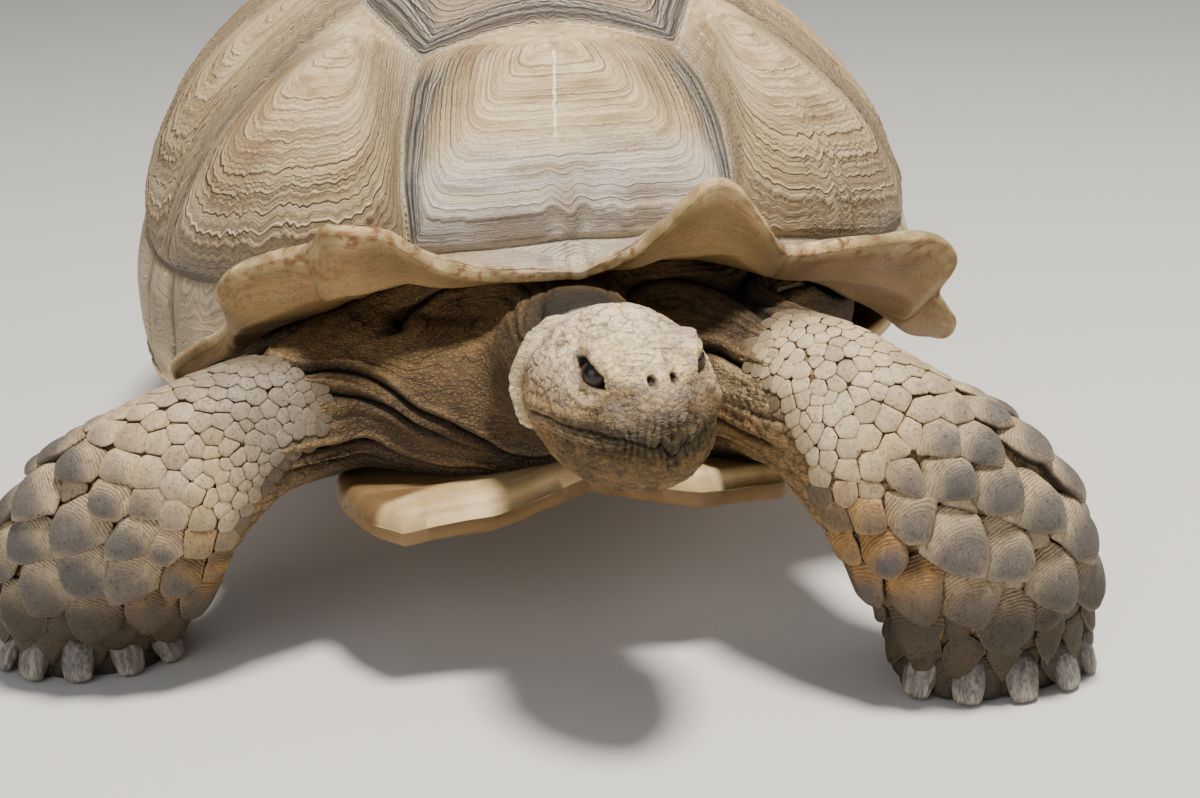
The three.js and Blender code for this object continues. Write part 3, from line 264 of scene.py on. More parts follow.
# Turn round the plan, height of the costal seam, the free edge's way out, height and slope, and how much
# lower the rim's root hangs before it turns up. Both sides are alike from the bridge to the tail.
RIM_SIDES = [
    (71, 200, 13, 130, -75, 4),
    (83, 204, 8, 130, -100, 0),
    (107, 204, 8, 130, -100, 0),
    (121, 202, 22, 136, -60, 0),
    (136, 200, 38, 144, -20, 0),
    (152, 198, 36, 140, -20, 0),
    (169, 196, 26, 126, -46, 0),
    (180, 196, 16, 114, -75, 0),
]
RIM_LEFT = [
    (0, 240, 18, 225, -25, 0),
    (4, 239, 20, 242, 10, 0),
    (7.5, 238, 46, 278, 62, 0),
    (9.5, 237, 45, 280, 66, 0),
    (12, 236, 41, 271, 62, 0),
    (14.5, 235, 39, 253, 50, 2),
    (18.5, 232, 30, 232, 32, 4),
    (27, 226, 35, 230, 32, 9),
    (33, 221, 44, 229, 36, 12),
    (38, 217, 50, 226.5, 34, 16),
    (41.5, 215, 57, 220, 28, 21),
    (44, 213, 60, 207, 18, 24),
    (47, 210, 44, 182, 8, 26),
    (50, 208, 45, 166, 5, 26),
    (53.5, 207, 47, 151, 0, 25),
    (57, 206, 38, 137, -10, 22),
    (62, 203, 20, 130, -40, 12),
    *RIM_SIDES,
]
RIM_RIGHT = [
    (0, 240, 18, 225, -25, 0),
    (5.6, 238, 20, 228, -10, 0),
    (9.7, 237, 25, 236.5, 20, 0),
    (12.2, 236, 28, 244, 34, 0),
    (14, 236, 32, 252, 44, 0),
    (15.5, 235, 40, 260.7, 55, 0),
    (18.5, 233, 50, 265.6, 62, 2),
    (21.5, 231, 51, 265.7, 62, 3),
    (23.5, 229, 43, 255, 52, 5),
    (26, 228, 36, 249, 44, 7),
    (28.5, 225, 38, 246.5, 44, 9),
    (33, 221, 43, 240, 42, 12),
    (37, 218, 42, 228.7, 34, 14),
    (39, 217, 37.5, 219, 24, 16),
    (41.5, 215, 22, 204.5, 8, 18),
    (43.5, 213, 12, 190, 0, 20),
    (46.5, 211, 14, 178.5, -5, 21),
    (49.5, 209, 17, 171.6, -5, 22),
    (54, 207, 27, 156.5, -5, 21),
    (57, 206, 19, 140.6, -20, 18),
    (62, 203, 17, 131, -50, 10),
    *RIM_SIDES,
]
ENDS_BACK = [62, 73, 84, 95, 107, 121, 136, 152, 169, 180]
ENDS_LEFT = np.array([0, 18.5, 47, *ENDS_BACK])
ENDS_RIGHT = np.array([0, 24.7, 43.5, *ENDS_BACK])

# Scute corners on the dome, as a disc seen from above: 1 is the costal seam, -y the front.
VERTEBRAL_SEAMS = [-0.52, -0.16, 0.16, 0.5]
VERTEBRAL_SEAM_HALF = 0.16
VERTEBRAL_WAISTS = [-0.29, 0.02, 0.34]
VERTEBRAL_WAIST_HALF = 0.25
VERTEBRAL_SEAM_BOW = 0.05  # how far a vertebral seam bows back at the midline
SHOULDERS = [(0.195, -0.6), (0.22, -0.7), (0.238, -0.82)]  # the first vertebral's side
HIP = (0.28, 0.76)
TAIL_HALF = 0.17
VERTEBRAL_FRONT_TURN = 15  # where the first and last vertebral meet the rim
VERTEBRAL_BACK_TURN = 159
COSTAL_END_TURNS = [65, 94, 126]


def rims(table):
    columns = np.array(table, float).T
    return [through(columns[0], c) for c in columns[1:]]


RIM_CURVES = {1: rims(RIM_LEFT), -1: rims(RIM_RIGHT)}


def rim_value(turn, which):
    a = np.abs(turn)
    return np.where(turn < 0, RIM_CURVES[-1][which](a), RIM_CURVES[1][which](a))


def plan(turn):
    s, c = np.sin(np.radians(turn)), np.cos(np.radians(turn))
    y = -bent(c, PLAN_POWER) * np.where(c > 0, SHELL_FRONT, SHELL_BACK)
    return xyz(bent(s, PLAN_POWER) * SHELL_HALF_WIDTH, y)


def outward(turn):
    p = plan(turn)
    return unit(xyz(p[..., 0] / SHELL_HALF_WIDTH, p[..., 1] / SHELL_FRONT))


def dome_point(turn, reach, rise=0.0):
    """reach is 0 at the crown and 1 at the costal seam, rise is measured out from the surface."""
    g = np.sin(np.pi / 2 * reach)
    seam = rim_value(turn, 0)
    p = plan(turn) * g[..., None]
    power = lerp(DOME_POWER_END, DOME_POWER_SIDE, np.sin(np.radians(turn)) ** 2)
    p[..., 2] = seam + (SHELL_TOP - seam) * np.maximum(0, 1 - g**power) ** (1 / power)
    tilt = xyz(p[..., 0] / SHELL_HALF_WIDTH * g**1.5, p[..., 1] / SHELL_FRONT * g**1.5, 1.12 - g)
    return p + unit(tilt) * np.asarray(rise)[..., None]


def disc(turn):
    return np.stack([np.sin(np.radians(turn)), -np.cos(np.radians(turn))], -1)


def turn_of(p):
    return np.degrees(np.arctan2(p[..., 0], -p[..., 1]))


def marginal_at(turn):
    """How far along its marginal scute a turn lies, from 0 to 1, that scute's number, and the degrees to the
    nearer end."""
    a = np.abs(turn)
    ends = np.where((turn < 0)[..., None], ENDS_RIGHT, ENDS_LEFT)
    i = np.clip((a[..., None] >= ends).sum(-1) - 1, 0, len(ENDS_LEFT) - 2)
    low, high = (np.take_along_axis(ends, k[..., None], -1)[..., 0] for k in (i, i + 1))
    return (a - low) / (high - low), i, np.minimum(a - low, high - a)


def scallop(turn):
    a = np.abs(turn)
    share = marginal_at(turn)[0]
    near = 2 * np.minimum(share, 1 - share)
    plain = (a < ENDS_BACK[0]) | (a > 175)
    return np.where(plain, 0, 4 * (1 - near) ** 3 * np.abs(np.cos(np.radians(a))))


def rim_point(turn, t, rise=0.0):
    """A point of the flared rim: t is 0 at the costal seam and 1 at the free edge."""
    seam, out, z, curl, dip = (rim_value(turn, k) for k in range(5))
    drawn = scallop(turn)
    edge = np.stack([out - drawn, z - drawn * 0.5], -1)
    length = np.hypot(edge[..., 0], edge[..., 1] - seam)
    aim = np.radians(curl)
    start = np.stack([0 * seam, seam], -1)
    leave = np.stack([0.16 * length, seam - 0.3 * length - 2 * dip], -1)
    arrive = edge - np.stack([np.cos(aim), np.sin(aim)], -1) * 0.42 * length[..., None]
    t = (np.asarray(t) + 0 * seam)[..., None]
    u = 1 - t
    p = u**3 * start + 3 * u * u * t * leave + 3 * u * t * t * arrive + t**3 * edge
    d = unit(3 * u * u * (leave - start) + 6 * u * t * (arrive - leave) + 3 * t * t * (edge - arrive))
    p = p + np.stack([-d[..., 1], d[..., 0]], -1) * (np.asarray(rise) + 0 * seam)[..., None]
    made = plan(turn) + outward(turn) * p[..., :1]
    made[..., 2] = p[..., 1]
    return made


def vault_foot(turn, inset):
    p = plan(turn) - outward(turn) * (WALL + 4 + inset)
    p[..., 2] = rim_value(turn, 0) - RIM_ROOT - rim_value(turn, 4)
    return p


# ---------------------------------------------------------------- camera, floor and light
CAMERA_AT = np.array([-152, -1397, 541])
CAMERA_AZIMUTH = -8.5
CAMERA_ELEVATION = 19.8
CAMERA_ROLL = -1.7
FOCAL_PIXELS = 2003  # on a picture 1200 pixels wide
PICTURE_WIDTH = 1200
SKY = (0.86, 0.89, 0.94, 1)
SKY_STRENGTH = 0.3
FLOOR_GREY = (0.62, 0.61, 0.59, 1)
FLOOR_HALF = 9000
# Name, place and target in metres, size, power and colour.
LIGHTS = [
    ("key", (0.3, -0.7, 2.7), (0, -0.1, 0.2), 0.5, 154, (1, 0.94, 0.84)),
    ("fill", (-2.0, -2.4, 1.3), (0, -0.2, 0.15), 2.6, 32, (0.97, 0.98, 1)),
    ("side", (2.4, -0.6, 1.2), (0, -0.1, 0.2), 1.8, 10, (1, 0.98, 0.95)),
]


def camera_axes():
    """The camera's right, up and back."""
    a, e, r = (math.radians(v) for v in (CAMERA_AZIMUTH, CAMERA_ELEVATION, CAMERA_ROLL))
    back = np.array([math.sin(a) * math.cos(e), -math.cos(a) * math.cos(e), math.sin(e)])
    right = np.array([math.cos(a), math.sin(a), 0])
    up = np.cross(back, right)
    return math.cos(r) * right + math.sin(r) * up, -math.sin(r) * right + math.cos(r) * up, back


def make_camera():
    data = bpy.data.cameras.new("camera")
    data.sensor_width = 36
    data.lens = data.sensor_width * FOCAL_PIXELS / PICTURE_WIDTH
    data.clip_start, data.clip_end = 0.05, 50
    at = (CAMERA_AT + FRAME_SHIFT) * MM
    rows = [[*row, x] for row, x in zip(np.stack(camera_axes(), 1), at)]
    made = shown_object("camera", data)
    made.matrix_world = Matrix([*rows, [0, 0, 0, 1]])
    bpy.context.scene.camera = made


def area_light(name, at, target, size, power, colour):
    data = bpy.data.lights.new(name, "AREA")
    data.shape, data.size, data.energy, data.color = "DISK", size, power, colour
    made = shown_object(name, data)
    made.location = at
    made.rotation_euler = (Vector(target) - Vector(at)).to_track_quat("-Z", "Y").to_euler()


def make_stage():
    world = bpy.data.worlds.new("studio")
    world.use_nodes = True
    sky = world.node_tree.nodes["Background"]
    sky.inputs["Color"].default_value = SKY
    sky.inputs["Strength"].default_value = SKY_STRENGTH
    bpy.context.scene.world = world
    floor = bpy.data.materials.new("floor")
    floor.use_nodes = True
    shader = floor.node_tree.nodes["Principled BSDF"]
    shader.inputs["Base Color"].default_value = FLOOR_GREY
    shader.inputs["Roughness"].default_value = 0.9
    corners = np.array([(-1, -1, 0), (1, -1, 0), (1, 1, 0), (-1, 1, 0)]) * FLOOR_HALF
    plane = mesh_object("floor", corners, np.array([[0, 1, 2, 3]]), floor, smooth=False)
    for light in LIGHTS:
        area_light(*light)


# ---------------------------------------------------------------- materials


class Look:
    """A material put together from small shader steps. Sizes are millimetres."""

    def __init__(self, name, **sockets):
        self.material = bpy.data.materials.new(name)
        self.material.use_nodes = True
        self.tree = self.material.node_tree
        self.shader = self.tree.nodes["Principled BSDF"]
        for key, value in sockets.items():
            self.shader.inputs[key.replace("_", " ")].default_value = value

    def step(self, kind, out, inputs, **settings):
        node = self.tree.nodes.new("ShaderNode" + kind)
        for key, value in settings.items():
            setattr(node, key, value)
        for key, value in inputs.items():
            if isinstance(value, bpy.types.NodeSocket):
                self.tree.links.new(value, node.inputs[key])
            elif value is not None:
                node.inputs[key].default_value = value
        return node.outputs[out]

    def value(self, name):
        return self.step("Attribute", "Fac", {}, attribute_name=name)

    def paint(self, name):
        return self.step("Attribute", "Color", {}, attribute_name=name)

    def math(self, operation, *values):
        return self.step("Math", 0, dict(enumerate(values)), operation=operation)

    def mix(self, share, a, b, blend="MIX"):
        a, b = ((*c, 1) if isinstance(c, tuple) and len(c) == 3 else c for c in (a, b))
        return self.step("Mix", 2, {0: share, 6: a, 7: b}, data_type="RGBA", blend_type=blend)

    def span(self, value, low, high, start=0.0, end=1.0):
        ends = {"From Min": low, "From Max": high, "To Min": start, "To Max": end}
        return self.step("MapRange", 0, {"Value": value, **ends}, interpolation_type="SMOOTHSTEP")

    def times(self, value, *factors):
        for factor in factors:
            value = self.math("MULTIPLY", value, factor)
        return value

    def heap(self, height, *layers):
        """Adds layers of (value, weight) to a height."""
        for value, weight in layers:
            height = self.math("MULTIPLY_ADD", value, weight, height)
        return height

    def cover(self, colour, *layers):
        """Lays layers of (paint, mask, strengths) over a colour."""
        for paint, *shares in layers:
            colour = self.mix(self.times(*shares), colour, paint)
        return colour

    def shades(self, tint, *factors):
        """A tint's lighter and deeper versions."""
        return [self.mix(1.0, tint, factor, "MULTIPLY") for factor in factors]

    def place(self, stretch=(1, 1, 1)):
        at = self.step("TexCoord", "Object", {})
        return self.step("Mapping", 0, {"Vector": at, "Scale": stretch})

    def noise(self, size, detail=3.0, at=None, roughness=0.55):
        inputs = {"Vector": at or self.place(), "Scale": 1 / (size * MM)}
        return self.step("TexNoise", 0, {**inputs, "Detail": detail, "Roughness": roughness})

    def streaks(self, along, scale):
        """Noise that changes only with the value along."""
        return self.step("TexNoise", 0, {"W": along, "Scale": scale, "Detail": 2.0}, noise_dimensions="1D")

    def cells(self, size, feature="F1", at=None):
        inputs = {"Vector": at or self.place(), "Scale": 1 / (size * MM)}
        return self.step("TexVoronoi", "Distance", inputs, feature=feature)

    def finish(self, colour, roughness, height, depth):
        """height from 0 to 1 stands for depth millimetres of relief."""
        normal = self.step("Bump", 0, {"Height": height, "Distance": depth * MM, "Strength": 1.0})
        for key, value in (("Base Color", colour), ("Roughness", roughness), ("Normal", normal)):
            self.tree.links.new(value, self.shader.inputs[key])
        return self.material


def paints(*layers):
    """A colour for each point: the first layer's, then (share, colour) pairs laid over it."""
    made = np.array(layers[0], float)
    for share, colour in layers[1:]:
        made = made + (np.asarray(colour, float) - made) * np.clip(np.asarray(share, float), 0, 1)[..., None]
    return made


# ---------------------------------------------------------------- carapace
TAN = (0.58, 0.42, 0.21)
CREAM = (0.9, 0.72, 0.44)
BROWN = (0.25, 0.14, 0.052)
AMBER = (0.45, 0.235, 0.075)
SLATE = (0.085, 0.095, 0.11)
ASH = (0.4, 0.32, 0.23)
UNDER_TAN = (0.31, 0.185, 0.075)
UNDER_GOLD = (0.42, 0.27, 0.105)
UNDER_BROWN = (0.14, 0.08, 0.03)
MOSS = (0.17, 0.14, 0.045)
RUST = (0.24, 0.085, 0.022)

SHELL_GRID = 364  # squares across the dome
DISC_MM = 300  # about how long the disc's radius is on the shell
RINGS = 25  # growth rings from where a scute grew from to its seam
SLATE_BAND = 17  # millimetres of dark horn inside the borders of the first two vertebrals
SCRATCH = (-0.56, -0.755)  # the ends of a pale scratch down the first vertebral
RIM_MM = 4.9  # millimetres along the rim to a degree of turn


def scute_list():
    """For each of the dome's scutes its corners, centre, where its rings began and if it is a vertebral."""
    a, b, c, d = VERTEBRAL_SEAMS
    p, q, r = VERTEBRAL_WAISTS
    h, w = VERTEBRAL_SEAM_HALF, VERTEBRAL_WAIST_HALF

    def end(side, turn):
        return tuple(disc(np.array(side * turn)))

    def mid(y):
        return [(0.0, y + VERTEBRAL_SEAM_BOW)]

    def shoulders(s):
        return [(s * x, y) for x, y in SHOULDERS]

    def across(side, back, front):
        """A vertebral's corners: its back seam's middle, one side forwards, its front's middle, the other."""
        return [*back, *side(1), *front, *side(-1)[::-1]]

    def costal(s):
        e, f, g = (end(s, turn) for turn in COSTAL_END_TURNS)
        front, back, hip = end(s, VERTEBRAL_FRONT_TURN), end(s, VERTEBRAL_BACK_TURN), (s * HIP[0], HIP[1])
        waists, seams = [(s * w, y) for y in (p, q, r)], [(s * h, y) for y in (a, b, c)]
        last = [waists[2], (s * TAIL_HALF, d), hip, back, g]
        return [
            ([seams[0], waists[0], e, front, *shoulders(s)[::-1]], (s * 0.3, -0.47), (s * 0.262, -0.4)),
            ([waists[0], seams[1], waists[1], f, e], (s * 0.37, -0.14), (s * 0.34, -0.12)),
            ([waists[1], seams[2], waists[2], g, f], (s * 0.37, 0.17), (s * 0.34, 0.17)),
            (last, (s * 0.34, 0.5), (s * 0.32, 0.48)),
        ]

    sides = [
        lambda s: [(s * h, a), *shoulders(s), end(s, VERTEBRAL_FRONT_TURN)],
        lambda s: [(s * h, b), (s * w, p), (s * h, a)],
        lambda s: [(s * h, c), (s * w, q), (s * h, b)],
        lambda s: [(s * TAIL_HALF, d), (s * w, r), (s * h, c)],
        lambda s: [end(s, VERTEBRAL_BACK_TURN), (s * HIP[0], HIP[1]), (s * TAIL_HALF, d)],
    ]
    mids = [(mid(a), []), (mid(b), mid(a)), (mid(c), mid(b)), (mid(d), mid(c)), ([], mid(d))]
    centres = [(-0.62, -0.535), (-0.29, -0.25), (0.05, 0.05), (0.38, 0.36), (0.66, 0.62)]
    vertebrals = [
        (across(side, *ends), (0, middle), (0, origin), 1.0)
        for side, ends, (middle, origin) in zip(sides, mids, centres)
    ]
    return vertebrals + [(*row, 0.0) for row in costal(1) + costal(-1)]


def scute_border(corners, centre, samples=1440):
    """How far the scute's border lies from its centre, for equal steps of angle from -180 degrees."""
    line = []
    for (x0, y0), (x1, y1) in zip(corners, corners[1:] + corners[:1]):
        on_rim = min(math.hypot(x0, y0), math.hypot(x1, y1)) > 0.999
        t = np.linspace(0, 1, 60)[:-1, None]
        run = np.array([x0, y0]) * (1 - t) + np.array([x1, y1]) * t
        line.append(unit(run) if on_rim else run)
    line = np.concatenate(line) - np.array(centre)
    angle = np.arctan2(line[:, 1], line[:, 0])
    order = np.argsort(angle)
    return np.interp(np.linspace(-np.pi, np.pi, samples), angle[order], np.linalg.norm(line, axis=1)[order],
                     period=2 * np.pi)


def softened(ring, width):
    """A closed ring of values blurred over width samples."""
    weight = np.exp(-0.5 * (np.arange(-3 * width, 3 * width + 1) / width) ** 2)
    ring = np.concatenate([ring[-3 * width :], ring, ring[: 3 * width]])
    return np.convolve(ring, weight / weight.sum(), "valid")


def zigzag(x):
    """A wave of straight runs between -1 and 1, one to a whole number."""
    return 4 * np.abs(x - np.floor(x + 0.5)) - 1


def ring_folds(angle, number, vertebral):
    """How far the rings swing in and out along the rays from their origin, in rings."""
    way = xyz(angle + 7 * number)
    swing = rough(way, 0.3, 3, 31)
    teeth = zigzag(angle * 5.6 + 0.9 * noise(way, 0.35, 33) + number) * ease(-0.3, 0.6, noise(way, 0.5, 34))
    small = zigzag(angle * 13 + 0.8 * noise(way, 0.2, 35))
    return np.where(vertebral > 0.5, 0.35 * swing + 0.1 * small, 1.4 * swing + 0.85 * teeth + 0.25 * small)


def midline_folds(p, x):
    """The kinks the rings of a vertebral make along its midline, in rings, x millimetres across."""
    x = x + 4 * noise(xyz(*p.T), 0.08, 36)
    kinks = [(1.0, -10, 8), (-0.8, -1, 7), (0.8, 7, 7), (0.5, 21, 8), (-0.4, 30, 7)]
    return sum(size * bump(x, middle, half) for size, middle, half in kinks)


def rays(border, off):
    """For points off a scute's middle: how far each lies from it, its angle round it and how far the border
    lies on its ray."""
    angle = np.arctan2(off[:, 1], off[:, 0])
    at = np.linspace(-np.pi, np.pi, len(border))
    return np.linalg.norm(off, axis=1), angle, np.interp(angle, at, border)


def scute_fields(p, x):
    """For points of the disc, x millimetres across on the shell: the share of the way from the scute's middle
    to the seam, the ring count, the distance to the seam in millimetres, whether it is a vertebral, the
    scute's number, the share of the way from the rings' origin, how many rings lie in a millimetre, and the
    angle round the origin."""
    edge = ease(0, 0.12, 1 - np.linalg.norm(p, axis=-1))[:, None]
    wobble = np.stack([rough(xyz(*p.T), 0.22, 3, seed) for seed in (5, 9)], -1)
    p = p + wobble * 0.006 * edge
    best = np.full(len(p), 9.0)
    out = np.zeros((len(p), 8))
    for number, (corners, centre, origin, vertebral) in enumerate(scute_list()):
        r, _, far = rays(scute_border(corners, centre), p - np.array(centre))
        mine = r / far < best
        share, mm = (r / far)[mine], ((far - r) * DISC_MM * 0.9)[mine]
        border, off = scute_border(corners, origin), p[mine] - np.array(origin)
        r, angle, far = rays(border, off)
        _, _, rounder = rays(softened(border, 18 if vertebral else 34), off)
        nest = r / lerp(rounder, far, np.clip(r / far, 0, 1) ** 4)
        kinks = vertebral * midline_folds(p[mine], x[mine]) * ease(0.45, 0.75, nest)
        folds = ring_folds(angle, number, vertebral) + kinks
        phase = RINGS * nest + folds * nest**1.3
        phase = phase + 0.5 * noise(xyz(nest * 6 + number), 1, 4)
        best[mine] = share
        fields = share, phase, mm, vertebral, number, nest, RINGS / (far * DISC_MM), angle
        out[mine] = np.stack(np.broadcast_arrays(*fields), -1)
    return out.T


def ring_relief(phase, worn):
    """Growth rings as terraces: each rises a little outward and drops at its edge. From 0 to about 1."""
    step = phase - np.floor(phase)
    own = 0.25 + 1.0 * lattice(xyz(*[np.floor(phase)] * 3), 3) ** 1.4
    return own * worn * step**1.4 * ease(1.0, 0.86, step)


def dome_shape():
    """The dome's points, a square grid spread over its scutes, and what its paint needs of them."""
    u, v = (f.ravel() for f in np.meshgrid(*[np.linspace(-1, 1, SHELL_GRID + 1)] * 2))
    reach = np.maximum(np.abs(u), np.abs(v))
    lean = 45 * (np.minimum(np.abs(u), np.abs(v)) / np.maximum(reach, 1e-9)) ** (4 / 3)
    lengthways = np.where(v < 0, lean, 180 - lean)
    turn = np.where(u < 0, -1, 1) * np.where(np.abs(v) >= np.abs(u), lengthways, 90 + np.sign(v) * lean)
    p = disc(turn) * reach[:, None]
    plain = dome_point(turn, reach)
    share, ring, seam, vertebral, number, nest, dense, ray = scute_fields(p, plain[:, 0])
    seam = np.minimum(seam, (1 - reach) * DISC_MM)
    worn = lerp(0.5, 1.0, ease(0.15, 0.6, nest)) * ease(0.75, 0.4, dense)
    worn = worn * (1 - 0.45 * (number == 0) * ease(-0.62, -0.76, p[:, 1]))
    plate = PLATE_RISE * ease(0, 5, seam) + SCUTE_BULGE * (1 - np.clip(share, 0, 1) ** 2)
    keel = np.exp(-((p[:, 0] / 0.025) ** 2)) * vertebral * 1.2 * ease(0.3, 0.9, nest)
    rise = plate - keel + 2.0 * ring_relief(ring, worn) * ease(0, 5, seam) + 0.5 * rough(plain, 60, 2, 77)
    points = dome_point(turn, reach, rise)
    return SimpleNamespace(points=points, turn=turn, p=p, across=plain[:, 0], ring=ring, seam=seam,
                           vertebral=vertebral, number=number, nest=nest, ray=ray, worn=worn)


def dome_paint(dome):
    """The dome's colour, how strong its lines are and where it is dark along its seams."""
    x, y, seam, nest = np.abs(dome.p[:, 0]), dome.p[:, 1], dome.seam, dome.nest
    broad, fine = rough(dome.points, 90, 3, 13), rough(dome.points, 12, 3, 14)
    streak = noise(xyz(dome.ring, dome.ray * 3), 1, 15)
    first, second, costal = dome.number == 0, dome.number == 1, 1 - dome.vertebral
    band = ease(SLATE_BAND + 6, SLATE_BAND - 6, seam + 4 * fine) * ease(1.2, 3.2, seam)
    corner = ease(0.1, 0.16, x) * ease(-0.55, -0.47, y)
    slate = np.max([
        first * band * ease(0.02, 0.1, x) * ease(-0.52, -0.6, y) * ease(-0.99, -0.9, y),
        first * ease(-0.8, -0.92, y) * (0.15 + 0.4 * broad + 0.5 * streak),
        second * np.clip(band + 0.5 * corner * ease(34, 20, seam), 0, 1),
        ~first * ~second * dome.vertebral * band * 0.75,
        costal * ease(0.86, 0.98, nest) * (0.35 + 0.5 * broad + 0.35 * streak),
    ], 0)
    slate = np.clip(slate, 0, 1)
    outer = ease(0.5, 0.85, nest)
    inner_band = costal * ease(0.75, 0.55, x / 0.3) * ease(-0.42, -0.5, y)
    tint = paints(
        TAN,
        (0.35 + 0.6 * broad, ASH),
        (ease(0.8, 0.2, nest) * (0.55 + 0.4 * broad), CREAM),
        (first * ease(-0.7, -0.82, y) * 0.85, (0.68, 0.645, 0.59)),
        (costal * ease(-0.1, 0.5, broad) * 0.5 * (1 - outer), AMBER),
        (ease(-0.1, 0.55, rough(dome.points, 40, 3, 19)) * ease(0.25, 0.5, nest) * 0.5, BROWN),
        (ease(0.1, 0.7, streak) * 0.45, BROWN),
        (ease(-0.1, -0.7, streak) * 0.5, CREAM),
        (second * 0.55, (0.27, 0.245, 0.22)),
        (outer * costal * 0.35, ASH),
        (inner_band * 0.85, (0.76, 0.59, 0.38)),
        (slate * (0.85 + 0.3 * fine), SLATE),
        (ease(1.6, 0.5, seam) * 0.8, (0.72, 0.63, 0.48)),
    )
    lines = dome.worn * lerp(1.0, 1.25, slate) * (1 - 0.3 * first * ease(-0.64, -0.78, y))
    return tint, lines, slate


def marginal_rings(turns, t):
    """The ring count of the marginal scutes, t of the way out from the costal seam."""
    along, which, _ = marginal_at(turns)
    inward = np.abs(2 * along - 1) ** 4
    swing = noise(xyz(turns * 0.35, t * 2), 1, 6)
    return np.maximum(t, 0.55 * inward + 0.3 * t) * 15 + 1.2 * swing + which * 3.7


def rim_shape(turns):
    """Rings of points from the dome's border over the flared rim, back under it, up the wall of the vault and
    under the dome, the last one a single point. Then t, which is 0 at the costal seam and 1 at the free edge,
    whether a point is underneath, its distance to a seam, its ring count and its turn."""
    girth = RIM_MM * marginal_at(turns)[2]
    length = np.hypot(rim_value(turns, 1), rim_value(turns, 2) - rim_value(turns, 0))
    wear = rough(xyz(turns * RIM_MM), 26, 3, 41)
    rows = []

    def row(points, t, under=1, near=girth):
        rows.append([points, *(f + 0 * turns for f in (t, under, near))])

    for t in np.linspace(0, 1, 38)[1:-1]:
        near = np.minimum(girth, t * length)
        relief = ring_relief(marginal_rings(turns, t), 0.8) * ease(0, 6, near)
        rise = PLATE_RISE * ease(0, 4, near) * ease(1.02, 0.9, t + 0.05) + 0.7 * relief
        row(rim_point(turns, t, rise), t, 0, near)
    middle, half = -1.8, 4.2 + 0.7 * wear
    for a in np.radians([68, 45, 22, 0, -22, -45, -68]):
        t = 0.955 + (0.045 + 0.012 * wear) * math.cos(a)
        rise = middle + half * math.sin(a) - 1.2 * ease(3, 0, girth)
        row(rim_point(turns, t, rise), t, ease(30, -30, math.degrees(a)))
    for t in np.linspace(0.955, 0.5, 26):
        thick = lerp(RIM_EDGE, lerp(RIM_EDGE, RIM_ROOT, 0.6), np.clip((0.93 - t) / 0.43, 0, 1))
        ridge = ring_relief(marginal_rings(turns, t) + 0.4, 0.35)
        row(rim_point(turns, t, -thick + 1.2 * ease(3.2, 0, girth) - 0.5 * ridge), t)
    inner, foot = rows[-1][0], vault_foot(turns, 0)
    for share in np.linspace(0, 1, 9)[1:]:
        row(lerp(inner, foot, share), 0.5 - 0.4 * share)
    for reach in (0.93, 0.7, 0.42, 0.16):
        row(dome_point(turns, reach + 0 * turns, -WALL + 0 * turns), 0)
    points, t, under, near = (np.stack(f) for f in zip(*rows))
    fields = (t, 0), (under, 1), (near, 9), (marginal_rings(turns, t), 0), (turns + 0 * t, 0)
    points = np.concatenate([points.reshape(-1, 3), [[0, 0, SHELL_TOP - WALL]]])
    return points, *(np.append(f, last) for f, last in fields)


def rim_paint(points, t, under, near, turn):
    """The rim's colour: worn and mottled towards its edge in front, plain brown underneath."""
    broad, fine, front = rough(points, 70, 3, 16), rough(points, 10, 3, 17), ease(75, 40, np.abs(turn))
    out = t + 0.2 * broad
    edge_area = ease(0.62, 1.0, t + 0.2 * rough(points, 22, 3, 23))
    mottle = edge_area * ease(-0.25, 0.35, rough(points, 16, 3, 26)) * front
    specks = ease(0.05, 0.35, rough(points, 3.8, 3, 24)) * ease(0.5, 0.95, out) * front
    specks = specks * ease(-0.5, 0.2, rough(points, 26, 2, 22))
    cloudy = ease(-0.1, 0.6, rough(points, 13, 4, 21)) * ease(0.55, 0.9, out) * front
    bands = noise(xyz(t * 7, turn * 0.12), 1, 27)
    return paints(
        ASH,
        (0.5 + 0.5 * broad, CREAM),
        (ease(9, 3, np.abs(turn)) * 0.7 * (1 - under), (0.72, 0.63, 0.53)),
        (ease(0.2, 0.6, fine) * 0.4, SLATE),
        (under, UNDER_TAN),
        (under * ease(-0.2, 0.5, broad + 0.5 * bands) * 0.8, UNDER_GOLD),
        (under * ease(0.1, 0.6, rough(points, 34, 3, 28)) * 0.55, UNDER_BROWN),
        (ease(0.8, 0.96, t) * front * (0.75 + 0.4 * fine), (0.72, 0.52, 0.25)),
        (np.maximum(under, edge_area) * mottle * 0.7, MOSS),
        (np.maximum(under, ease(0.8, 1, t)) * cloudy * 0.55, (0.2, 0.12, 0.035)),
        (np.maximum(under, ease(0.75, 0.95, t)) * specks * 0.85, RUST),
        (ease(1.4, 0.5, near) * (0.65 - 0.4 * under), (0.66, 0.55, 0.38)),
        (ease(3.0, 1.6, near) * ease(0.9, 1.5, near) * 0.4, UNDER_BROWN),
    )


